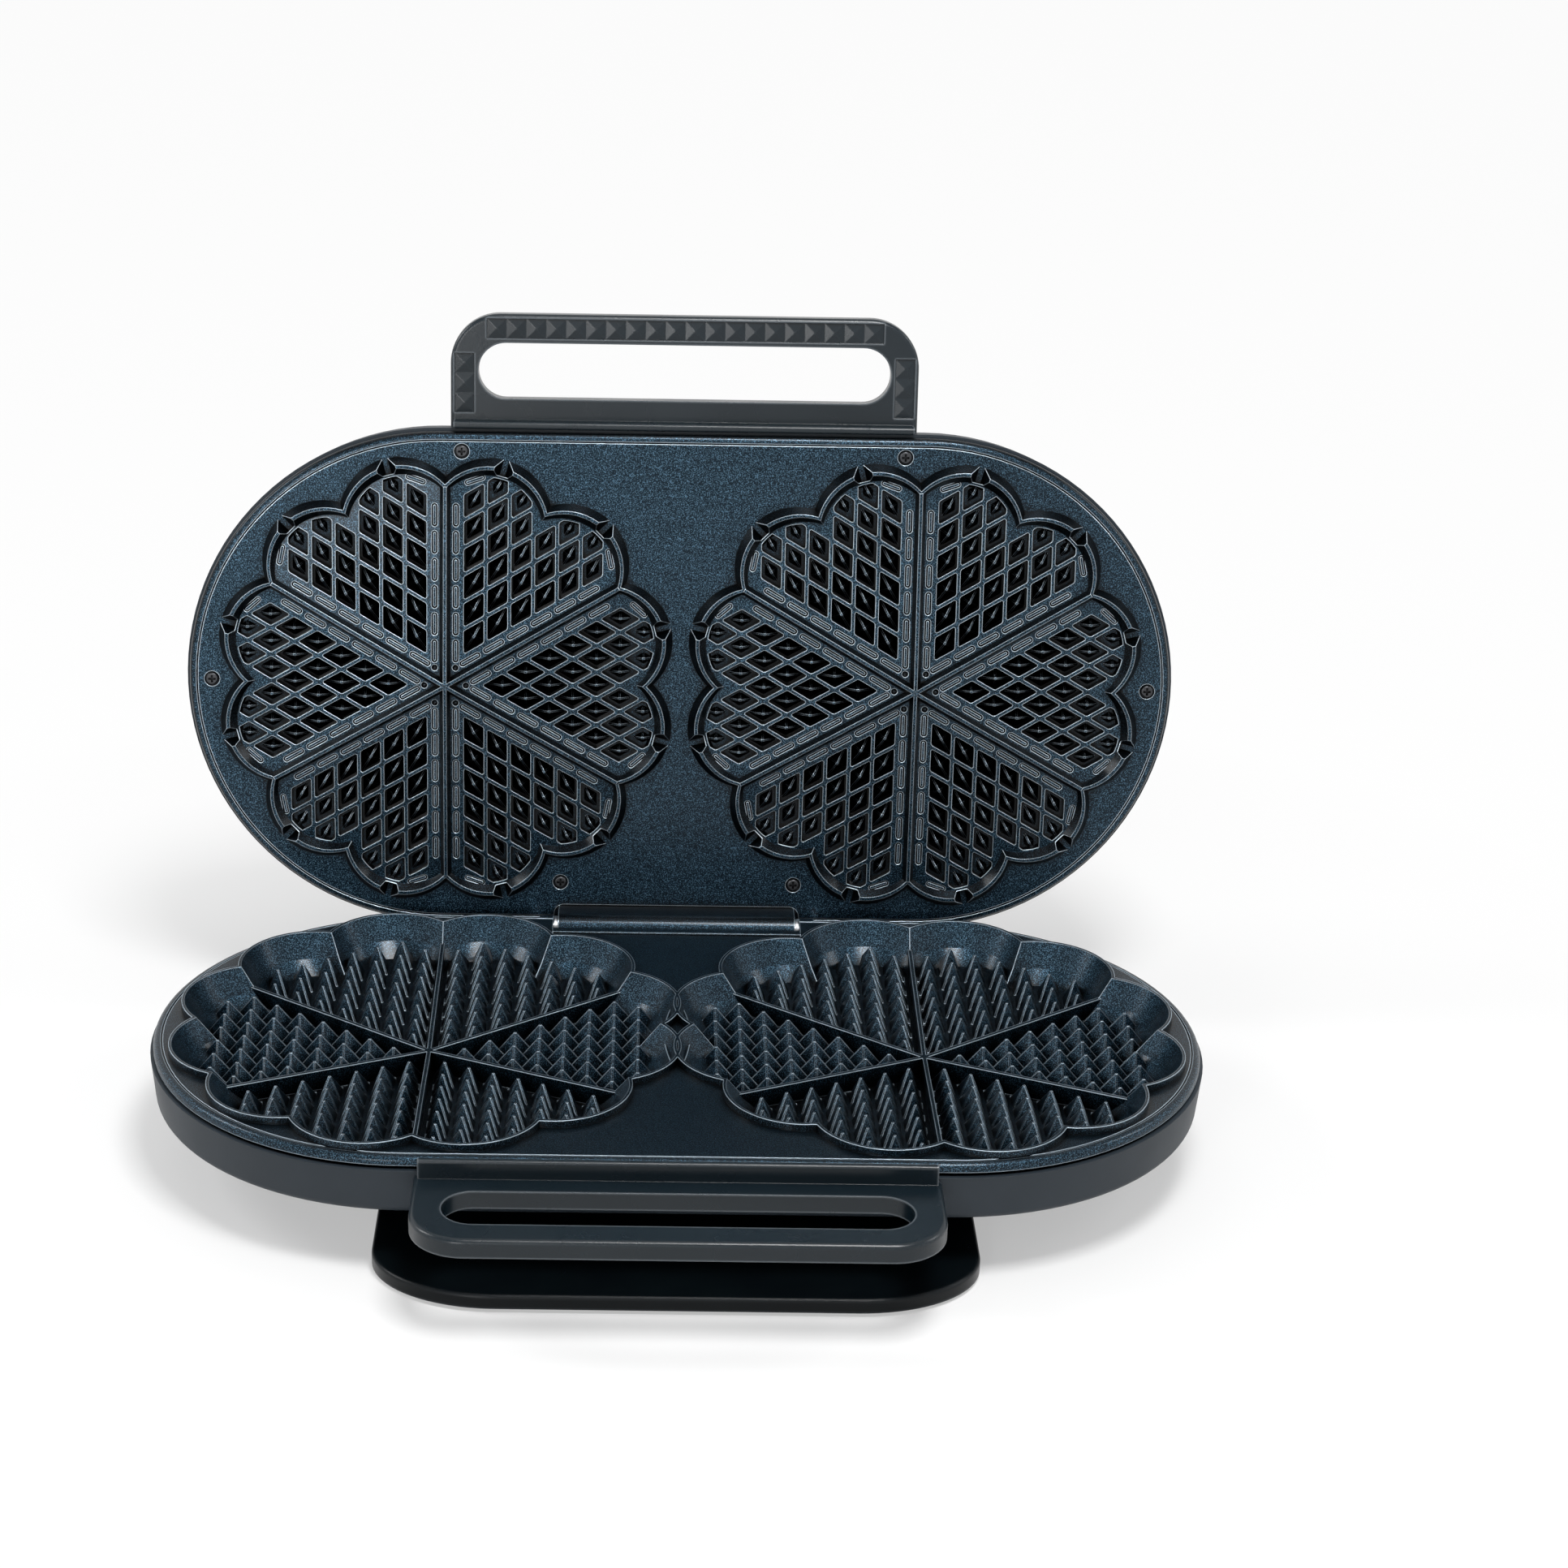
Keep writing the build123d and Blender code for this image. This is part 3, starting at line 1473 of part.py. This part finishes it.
base_parts = {
    "stand": stand_solid(),
    "stand_feet": group(feet()),
    "stand_screws": group(stand_screws()),
    "base_shell": base_shell_solid(),
    "lower_plate": lower_plate_solid(),
    "lower_plate_screws": group(lower_plate_screws()),
    "lower_heater_left": heater_solid(-1, bowl_under - heater_diameter / 2),
    "lower_heater_right": heater_solid(1, bowl_under - heater_diameter / 2),
    "lower_heater_clamps": group(
        both_sides(clamp_solid, bowl_under - heater_diameter - clamp_thickness, bowl_under - heater_diameter)
    ),
    "lower_reflectors": group(
        both_sides(
            reflector_solid,
            bowl_under - heater_diameter - clamp_thickness - reflector_thickness,
            bowl_under - heater_diameter - clamp_thickness,
        )
    ),
    "lower_clamp_screws": group(lower_clamp_screws()),
    "base_handle": handle_solid(base_casing, False),
    "base_handle_screws": group(base_handle_screws()),
    "hinge_pin": hinge_pin_solid(),
    "hinge_pin_clips": group(hinge_clips()),
    "hinge_washers": group(hinge_washers()),
    "thermal_fuse": fuse_solid(),
    "terminal_block": terminal_block_solid(),
    "heater_leads": group(leads()),
    "cord_gland": gland_solid(),
}

lid_parts = {
    "lid_cover": lid_cover_solid(),
    "upper_plate": upper_plate_solid(),
    "upper_plate_screws": group(upper_plate_screws()),
    "hinge_bushes": group(hinge_bushes()),
    "upper_heater_left": heater_solid(-1, upper_back + heater_diameter / 2),
    "upper_heater_right": heater_solid(1, upper_back + heater_diameter / 2),
    "upper_heater_clamps": group(
        both_sides(clamp_solid, upper_back + heater_diameter, upper_back + heater_diameter + clamp_thickness)
    ),
    "upper_reflectors": group(
        both_sides(
            reflector_solid,
            upper_back + heater_diameter + clamp_thickness,
            upper_back + heater_diameter + clamp_thickness + reflector_thickness,
        )
    ),
    "upper_clamp_screws": group(upper_clamp_screws()),
    "lid_handle": flip_to_lid(handle_solid(flip_to_lid(lid_casing), True)),
    "lid_handle_screws": group(lid_handle_screws()),
    "thermostat": thermostat_solid(),
    "thermostat_bracket": bracket_solid(),
    "bracket_screws": group(bracket_screws()),
    "power_light": light_lens(-1),
    "ready_light": light_lens(1),
    "light_holder": light_holder_solid(),
    "light_holder_screw": light_screw(),
    "knob_spindle": spindle_solid(),
    "control_knob": knob_solid(),
}

parts = dict(base_parts)
for name, shape in lid_parts.items():
    parts[name] = shape.rotate(hinge_axis, -open_angle)

# The origin lies on the table under the middle of the open appliance
boxes = [shape.bounding_box() for shape in parts.values()]
rear = max(box.max.Y for box in boxes)
front = min(box.min.Y for box in boxes)
origin_y = (rear + front) / 2

for name, shape in parts.items():
    moved = [Pos(0, -origin_y, 0) * solid for solid in shape.solids()]
    export_step(group(moved), f"parts/{name}.step", write_pcurves=False)

print("origin_y", round(origin_y, 4))
print("hinge axis y", round(hinge_back - origin_y, 4), "z", round(hinge_z, 4))
print("knob axis height on the closed lid", round(knob_pad_top(), 4), "knob_y", knob_y)
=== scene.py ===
import math

import bmesh
import bpy
from mathutils import Matrix, Vector


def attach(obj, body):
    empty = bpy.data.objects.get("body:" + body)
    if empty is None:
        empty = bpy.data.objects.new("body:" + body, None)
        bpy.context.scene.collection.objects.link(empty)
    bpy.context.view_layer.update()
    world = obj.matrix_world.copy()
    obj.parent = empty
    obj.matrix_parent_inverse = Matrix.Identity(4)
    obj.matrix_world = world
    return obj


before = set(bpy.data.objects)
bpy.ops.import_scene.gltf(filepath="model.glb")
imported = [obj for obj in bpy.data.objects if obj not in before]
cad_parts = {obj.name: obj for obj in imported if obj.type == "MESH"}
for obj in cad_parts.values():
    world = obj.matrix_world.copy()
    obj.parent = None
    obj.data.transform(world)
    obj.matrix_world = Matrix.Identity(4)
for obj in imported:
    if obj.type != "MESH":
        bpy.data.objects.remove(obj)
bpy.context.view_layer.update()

# Camera, solved from the outlines of the plates

camera_place = (-0.013297, -1.130828, 0.619371)
camera_right = Vector((0.99987337, -0.00182152, 0.01580922))
camera_down = Vector((0.01386065, -0.38840378, -0.92138503))
camera_ahead = Vector((0.00781868, 0.92148748, -0.38832935))

camera_data = bpy.data.cameras.new("camera")
camera_data.sensor_width = 36.0
camera_data.lens = 74.218
camera_data.shift_x = 0.0718
camera_data.shift_y = 0.0043
camera_data.clip_end = 20.0
camera = bpy.data.objects.new("camera", camera_data)
bpy.context.scene.collection.objects.link(camera)
axes = Matrix((camera_right, -camera_down, -camera_ahead)).transposed()
camera.matrix_world = Matrix.Translation(camera_place) @ axes.to_4x4()
bpy.context.scene.camera = camera
bpy.context.scene.view_settings.view_transform = "Standard"


# Material tools. Lengths are metres.

# Ramp places for the painted highlights on corners and for the painted light and shade by slope.
corner_full, corner_none = 0.65, 0.92
steep, flat = 0.72, 0.97
even = (1.0, 1.0, 1.0)


def new_material(name, colour, roughness, specular=0.5, metallic=0.0):
    material = bpy.data.materials.new(name)
    material.use_nodes = True
    shader = material.node_tree.nodes["Principled BSDF"]
    shader.inputs["Base Color"].default_value = (*colour, 1.0)
    shader.inputs["Roughness"].default_value = roughness
    shader.inputs["Specular IOR Level"].default_value = specular
    shader.inputs["Metallic"].default_value = metallic
    return material, shader


def noise(material, scale, detail=2.0, rough=0.5, stretch=even):
    """Noise over the object's own coordinates."""
    nodes = material.node_tree.nodes
    links = material.node_tree.links
    place = nodes.new("ShaderNodeTexCoord")
    mapping = nodes.new("ShaderNodeMapping")
    mapping.inputs["Scale"].default_value = stretch
    texture = nodes.new("ShaderNodeTexNoise")
    texture.inputs["Scale"].default_value = scale
    texture.inputs["Detail"].default_value = detail
    texture.inputs["Roughness"].default_value = rough
    links.new(place.outputs["Object"], mapping.inputs["Vector"])
    links.new(mapping.outputs["Vector"], texture.inputs["Vector"])
    return texture.outputs["Fac"]


def ramp(material, source, stops):
    """Colour ramp over the source, with stops as pairs of a place and a colour or a grey."""
    node = material.node_tree.nodes.new("ShaderNodeValToRGB")
    for element, (position, value) in zip(node.color_ramp.elements, stops):
        element.position = position
        element.color = (*value, 1.0) if isinstance(value, tuple) else (value, value, value, 1.0)
    material.node_tree.links.new(source, node.inputs["Fac"])
    return node.outputs["Color"]


def bump(material, shader, source, height, strength, edge):
    """Surface relief, with the edges softened over a radius where one is given."""
    nodes = material.node_tree.nodes
    links = material.node_tree.links
    node = nodes.new("ShaderNodeBump")
    node.inputs["Distance"].default_value = height
    node.inputs["Strength"].default_value = strength
    links.new(source, node.inputs["Height"])
    if edge:
        soften = nodes.new("ShaderNodeBevel")
        soften.samples = 4
        soften.inputs["Radius"].default_value = edge
        links.new(soften.outputs["Normal"], node.inputs["Normal"])
    links.new(node.outputs["Normal"], shader.inputs["Normal"])


def openness(material, reach, inside=False):
    """How open the surface is within a reach.

    It is 1 on flats and less in hollows, or less on corners when looked at from inside.
    """
    node = material.node_tree.nodes.new("ShaderNodeAmbientOcclusion")
    node.samples = 6
    node.inside = inside
    node.only_local = True
    node.inputs["Distance"].default_value = reach
    return node.outputs["AO"]


def highlight_corner_share(material, reach):
    """0 on flats and in hollows, 1 on corners that stand out: the mask for painted highlights."""
    return ramp(material, openness(material, reach, True), [(corner_full, 1.0), (corner_none, 0.0)])


def blend_colours(material, share, first, second, kind="MIX"):
    node = material.node_tree.nodes.new("ShaderNodeMix")
    node.data_type = "RGBA"
    node.blend_type = kind
    for socket, value in ((node.inputs[0], share), (node.inputs[6], first), (node.inputs[7], second)):
        if isinstance(value, tuple):
            socket.default_value = (*value, 1.0)
        elif isinstance(value, float):
            socket.default_value = value
        else:
            material.node_tree.links.new(value, socket)
    return node.outputs[2]


def painted_slope_shade(material, flat_direction, slope_share, flat_share):
    """Painted light and shade by slope: flat_share along the plate, slope_share on steep sides."""
    nodes = material.node_tree.nodes
    links = material.node_tree.links
    place = nodes.new("ShaderNodeTexCoord")
    along = nodes.new("ShaderNodeVectorMath")
    along.operation = "DOT_PRODUCT"
    links.new(place.outputs["Normal"], along.inputs[0])
    along.inputs[1].default_value = flat_direction
    return ramp(material, along.outputs["Value"], [(steep, slope_share), (flat, flat_share)])


def vary_roughness(material, shader, source, roughness, spread):
    polish = ramp(material, source, [(0.3, roughness - spread), (0.7, roughness + spread)])
    material.node_tree.links.new(polish, shader.inputs["Roughness"])


# Materials

flake_scale = 2400.0
flake_height = 0.0001
coat_weight = 0.3
coat_roughness = 0.2
coat_dark = (0.003, 0.011, 0.019)
coat_light = (0.070, 0.145, 0.215)
# Reaches and darkest level of the painted shade in hollows and grooves, the plates' edge rounding, and
# the reach of painted highlights on plastic corners.
hollow_reach = 0.006
groove_reach = 0.0016
plate_edge = 0.0006
darkest_painted_shade = 0.03
painted_edge_highlight_reach = 0.0009
metal_hollow_reach = 0.002
metal_relief = 0.00002


def coating(name, flat_direction, slopes, flats, hollows, painted_highlight, painted_highlight_width, roughness):
    """Non-stick coating: dark blue grey with pale flakes, painted highlights on corners, painted shade in
    hollows, painted light and shade by slope.
    """
    material, shader = new_material(name, coat_dark, roughness, specular=0.2, metallic=0.9)
    shader.inputs["Coat Weight"].default_value = coat_weight
    shader.inputs["Coat Roughness"].default_value = coat_roughness
    grain = noise(material, flake_scale, 1.0, 0.6)
    shaded = ramp(material, grain, [(0.52, coat_dark), (0.65, coat_light)])
    # Painted shade darkens the colour in pits and grooves by how open the surface is, and painted light
    # and shade change it by slope.
    dark_at, open_at = hollows
    painted_shade_stops = [(dark_at, darkest_painted_shade), (open_at, 1.0)]
    painted_hollow_shade = ramp(material, openness(material, hollow_reach), painted_shade_stops)
    painted_groove_shade = ramp(material, openness(material, groove_reach), [(0.5, darkest_painted_shade), (0.88, 1.0)])
    for tone in (painted_hollow_shade, painted_groove_shade, painted_slope_shade(material, flat_direction, slopes, flats)):
        shaded = blend_colours(material, 1.0, shaded, tone, "MULTIPLY")
    # Painted highlight: the corners that stand out are lightened.
    colour = blend_colours(material, highlight_corner_share(material, painted_highlight_width), shaded, painted_highlight)
    material.node_tree.links.new(colour, shader.inputs["Base Color"])
    vary_roughness(material, shader, noise(material, 60.0, 3.0), roughness, 0.03)
    bump(material, shader, grain, flake_height, 1.0, plate_edge)
    return material


def moulded(name, dark, light, roughness, grain_scale, grain_height, edge=0.0, specular=0.5, painted_edge_highlight=None):
    """Moulded plastic with a fine even grain, and a painted highlight on the corners where a colour for
    it is given.
    """
    material, shader = new_material(name, dark, roughness, specular)
    grain = noise(material, grain_scale, 2.0, 0.6)
    tone = ramp(material, noise(material, 25.0, 4.0, 0.6), [(0.3, dark), (0.7, light)])
    # Painted highlight: the corners are lightened where a colour for it is given.
    if painted_edge_highlight:
        tone = blend_colours(material, highlight_corner_share(material, painted_edge_highlight_reach), tone, painted_edge_highlight)
    material.node_tree.links.new(tone, shader.inputs["Base Color"])
    vary_roughness(material, shader, noise(material, 40.0, 3.0), roughness, 0.03)
    bump(material, shader, grain, grain_height, 0.6, edge)
    return material


def metal(name, colour, roughness, stretch=even):
    """Metal with fine drawn or turned marks, and painted shade in its hollows."""
    material, shader = new_material(name, colour, roughness, metallic=1.0)
    marks = noise(material, 900.0, 3.0, 0.6, stretch)
    # Painted shade: darker in hollows, by how open the surface is.
    shade = ramp(material, openness(material, metal_hollow_reach), [(0.4, 0.1), (0.9, 1.0)])
    shaded = blend_colours(material, 1.0, colour, shade, "MULTIPLY")
    material.node_tree.links.new(shaded, shader.inputs["Base Color"])
    vary_roughness(material, shader, marks, roughness, 0.08)
    bump(material, shader, marks, metal_relief, 0.4, 0.0)
    return material


# Plate coatings: the slope, flat and hollow levels are painted light and shade, and the corner colour is
# a painted highlight.
lower_coating = coating(
    "lower_coating", (0.0, 0.0, 1.0), slopes=0.8, flats=0.5, hollows=(0.35, 1.0),
    painted_highlight=(0.50, 0.60, 0.68), painted_highlight_width=0.0004, roughness=0.42,
)
upper_coating = coating(
    "upper_coating", (0.0, -0.98953, 0.14436), slopes=0.16, flats=0.95, hollows=(0.5, 0.9),
    painted_highlight=(0.74, 0.86, 0.96), painted_highlight_width=0.00029, roughness=0.33,
)
casing_plastic = moulded(
    "casing_plastic", (0.017, 0.024, 0.031), (0.023, 0.031, 0.040), 0.5, 2200.0, 0.00004,
    edge=0.0005, specular=0.3,
)
# The corner colours given to the handles and the stand below are painted highlights.
handle_plastic = moulded(
    "handle_plastic", (0.003, 0.008, 0.012), (0.005, 0.011, 0.016), 0.28, 2500.0, 0.00003,
    edge=0.0005, specular=0.4, painted_edge_highlight=(0.090, 0.105, 0.118),
)
stand_plastic = moulded(
    "stand_plastic", (0.001, 0.002, 0.003), (0.002, 0.004, 0.005), 0.3, 2500.0, 0.00002,
    edge=0.0012, specular=0.2, painted_edge_highlight=(0.030, 0.036, 0.042),
)
rubber_dark = (0.010, 0.010, 0.010)
rubber_light = (0.014, 0.014, 0.014)
foot_rubber = moulded("foot_rubber", rubber_dark, rubber_light, 0.8, 1500.0, 0.00005)
gland_rubber = moulded("gland_rubber", rubber_dark, rubber_light, 0.7, 1500.0, 0.00003)
plated_steel = metal("plated_steel", (0.52, 0.53, 0.55), 0.32)
dark_steel = metal("dark_steel", (0.060, 0.062, 0.066), 0.38)
bearing_brass = metal("bearing_brass", (0.58, 0.42, 0.18), 0.35)
tube_steel = metal("tube_steel", (0.20, 0.18, 0.17), 0.42)
reflector_sheet = metal("reflector_sheet", (0.75, 0.76, 0.77), 0.22, (1.0, 6.0, 1.0))
ceramic = moulded("ceramic", (0.62, 0.58, 0.50), (0.70, 0.66, 0.58), 0.8, 900.0, 0.00005)
terminal_plastic = moulded(
    "terminal_plastic", (0.60, 0.57, 0.48), (0.65, 0.62, 0.54), 0.45, 1500.0, 0.00002
)
lead_sleeve = moulded("lead_sleeve", (0.32, 0.03, 0.02), (0.38, 0.04, 0.03), 0.6, 1500.0, 0.00003)
holder_plastic = moulded(
    "holder_plastic", (0.45, 0.45, 0.42), (0.50, 0.50, 0.46), 0.5, 1500.0, 0.00002
)
red_lens = moulded("red_lens", (0.42, 0.012, 0.010), (0.50, 0.018, 0.012), 0.15, 600.0, 0.00001)
green_lens = moulded("green_lens", (0.015, 0.26, 0.05), (0.02, 0.32, 0.07), 0.15, 600.0, 0.00001)
print_white = moulded("print_white", (0.55, 0.56, 0.57), (0.65, 0.66, 0.67), 0.5, 1200.0, 0.00001)

finishes = {
    lower_coating: ["lower_plate"],
    upper_coating: ["upper_plate"],
    casing_plastic: ["base_shell", "lid_cover"],
    handle_plastic: ["base_handle", "lid_handle", "control_knob"],
    stand_plastic: ["stand"],
    foot_rubber: ["stand_feet"],
    gland_rubber: ["cord_gland"],
    plated_steel: [
        "stand_screws", "lower_plate_screws", "lower_clamp_screws", "base_handle_screws",
        "upper_clamp_screws", "lid_handle_screws", "bracket_screws", "light_holder_screw",
        "hinge_pin", "hinge_pin_clips", "hinge_washers", "lower_heater_clamps",
        "upper_heater_clamps", "thermostat_bracket", "knob_spindle", "thermostat",
    ],
    dark_steel: ["upper_plate_screws"],
    bearing_brass: ["hinge_bushes"],
    tube_steel: [
        "lower_heater_left", "lower_heater_right", "upper_heater_left", "upper_heater_right",
    ],
    reflector_sheet: ["lower_reflectors", "upper_reflectors"],
    ceramic: ["thermal_fuse"],
    terminal_plastic: ["terminal_block"],
    lead_sleeve: ["heater_leads"],
    holder_plastic: ["light_holder"],
    red_lens: ["power_light"],
    green_lens: ["ready_light"],
}
for material, names in finishes.items():
    for name in names:
        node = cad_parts[name]
        node.data.materials.clear()
        node.data.materials.append(material)


# Dial marks on the pad round the knob, and the pointer on the knob's grip

hinge_y = 0.085925
hinge_z = 0.04459
open_angle = math.radians(98.3)
dial_y = -0.075805
dial_top = 0.087576
grip_end_height = 0.0952
mark_count = 9
mark_radius = 0.0191
mark_size = (0.0026, 0.0008, 0.0004)
grip_end_radius = 0.0156
pointer_size = (0.0005, 0.0013, 0.0056)
knob_travel = math.radians(270.0)
first_angle = math.radians(-90.0)
print_round = 0.00012


def lid_place():
    """From the closed lid to the open lid of the frame."""
    to_hinge = Matrix.Translation((0.0, -hinge_y, -hinge_z))
    back = Matrix.Translation((0.0, hinge_y, hinge_z))
    return back @ Matrix.Rotation(-open_angle, 4, "X") @ to_hinge


def add_bar(shape, radius, angle, height, size):
    """A small bar that points away from the knob's axis, with its middle at the height."""
    turn = Matrix.Translation((0.0, dial_y, height)) @ Matrix.Rotation(angle, 4, "Z")
    place = turn @ Matrix.Translation((radius, 0.0, 0.0)) @ Matrix.Diagonal((*size, 1.0))
    bmesh.ops.create_cube(shape, size=1.0, matrix=lid_place() @ place)


def make_print(name, shape, body):
    """Round the bars' edges and make them one piece on a body."""
    edges = shape.edges[:]
    bmesh.ops.bevel(
        shape, geom=edges, offset=print_round, affect="EDGES", segments=2, profile=0.5, material=-1
    )
    mesh = bpy.data.meshes.new(name)
    shape.to_mesh(mesh)
    shape.free()
    mesh.materials.append(print_white)
    piece = bpy.data.objects.new(name, mesh)
    bpy.context.scene.collection.objects.link(piece)
    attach(piece, body)


marks = bmesh.new()
for number in range(mark_count):
    angle = first_angle + knob_travel * number / (mark_count - 1)
    add_bar(marks, mark_radius, angle, dial_top, mark_size)
make_print("dial_marks", marks, "lid")

pointer = bmesh.new()
add_bar(pointer, grip_end_radius, first_angle, grip_end_height, pointer_size)
make_print("knob_pointer", pointer, "knob")


# Studio

floor_half = 6.0
shadow_end = 0.5
shadow_start = 0.23
fill_strength = 0.25


def seen_share(owner):
    """1 for rays from the camera, reflections and rays through glass, 0 for rays that light."""
    nodes = owner.node_tree.nodes
    links = owner.node_tree.links
    path = nodes.new("ShaderNodeLightPath")
    share = path.outputs["Is Camera Ray"]
    for ray in ("Is Glossy Ray", "Is Transmission Ray"):
        either = nodes.new("ShaderNodeMath")
        either.operation = "MAXIMUM"
        links.new(share, either.inputs[0])
        links.new(path.outputs[ray], either.inputs[1])
        share = either.outputs[0]
    return share


def floor_material():
    """White paper that keeps a soft part of the object's shadow."""
    material, shader = new_material("white_paper", (0.85, 0.85, 0.85), 0.9, specular=0.0)
    nodes = material.node_tree.nodes
    links = material.node_tree.links
    glow = nodes.new("ShaderNodeEmission")
    glow.inputs["Color"].default_value = (1.0, 1.0, 1.0, 1.0)
    place = nodes.new("ShaderNodeTexCoord")
    distance = nodes.new("ShaderNodeVectorMath")
    distance.operation = "LENGTH"
    links.new(place.outputs["Object"], distance.inputs[0])
    stops = [(shadow_start, 0.42), (shadow_end, 0.95)]
    share = nodes.new("ShaderNodeMath")
    share.operation = "MULTIPLY"
    links.new(seen_share(material), share.inputs[0])
    links.new(ramp(material, distance.outputs["Value"], stops), share.inputs[1])
    mix = nodes.new("ShaderNodeMixShader")
    links.new(share.outputs[0], mix.inputs["Fac"])
    links.new(shader.outputs["BSDF"], mix.inputs[1])
    links.new(glow.outputs["Emission"], mix.inputs[2])
    links.new(mix.outputs["Shader"], nodes["Material Output"].inputs["Surface"])
    return material


def make_floor():
    shape = bmesh.new()
    bmesh.ops.create_grid(shape, x_segments=1, y_segments=1, size=floor_half)
    mesh = bpy.data.meshes.new("floor")
    shape.to_mesh(mesh)
    shape.free()
    floor = bpy.data.objects.new("floor", mesh)
    mesh.materials.append(floor_material())
    bpy.context.scene.collection.objects.link(floor)


def make_world():
    """Even fill light, behind a white backdrop that gets darker overhead."""
    world = bpy.data.worlds.new("studio")
    bpy.context.scene.world = world
    world.use_nodes = True
    nodes = world.node_tree.nodes
    links = world.node_tree.links
    fill = nodes["Background"]
    fill.inputs["Color"].default_value = (1.0, 1.0, 1.0, 1.0)
    fill.inputs["Strength"].default_value = fill_strength
    backdrop = nodes.new("ShaderNodeBackground")
    backdrop.inputs["Strength"].default_value = 1.0
    direction = nodes.new("ShaderNodeTexCoord")
    parts = nodes.new("ShaderNodeSeparateXYZ")
    links.new(direction.outputs["Generated"], parts.inputs[0])
    links.new(ramp(world, parts.outputs["Z"], [(0.45, 1.0), (0.8, 0.3)]), backdrop.inputs["Color"])
    mix = nodes.new("ShaderNodeMixShader")
    links.new(seen_share(world), mix.inputs["Fac"])
    links.new(fill.outputs["Background"], mix.inputs[1])
    links.new(backdrop.outputs["Background"], mix.inputs[2])
    links.new(mix.outputs["Shader"], nodes["World Output"].inputs["Surface"])


def make_lamp(name, place, target, size, power):
    data = bpy.data.lights.new(name, "AREA")
    data.shape = "RECTANGLE"
    data.size, data.size_y = size
    data.energy = power
    lamp = bpy.data.objects.new(name, data)
    bpy.context.scene.collection.objects.link(lamp)
    lamp.location = place
    lamp.rotation_euler = (Vector(target) - Vector(place)).to_track_quat("-Z", "Y").to_euler()


make_floor()
make_world()
make_lamp("overhead_softbox", (0.0, 0.9, 3.0), (0.0, 0.9, 0.0), (3.0, 3.0), 15.0)
make_lamp("key_softbox", (0.2, -0.5, 1.35), (0.0, 0.0, 0.12), (0.4, 0.4), 15.0)
make_lamp("front_lamp", (-0.45, -1.4, 0.5), (0.0, 0.1, 0.3), (0.3, 0.3), 4.0)
make_lamp("left_lamp", (-1.1, 0.1, 0.9), (0.0, 0.0, 0.1), (0.25, 0.5), 5.0)
make_lamp("right_lamp", (1.2, 0.1, 0.9), (0.0, 0.0, 0.1), (0.25, 0.5), 3.0)
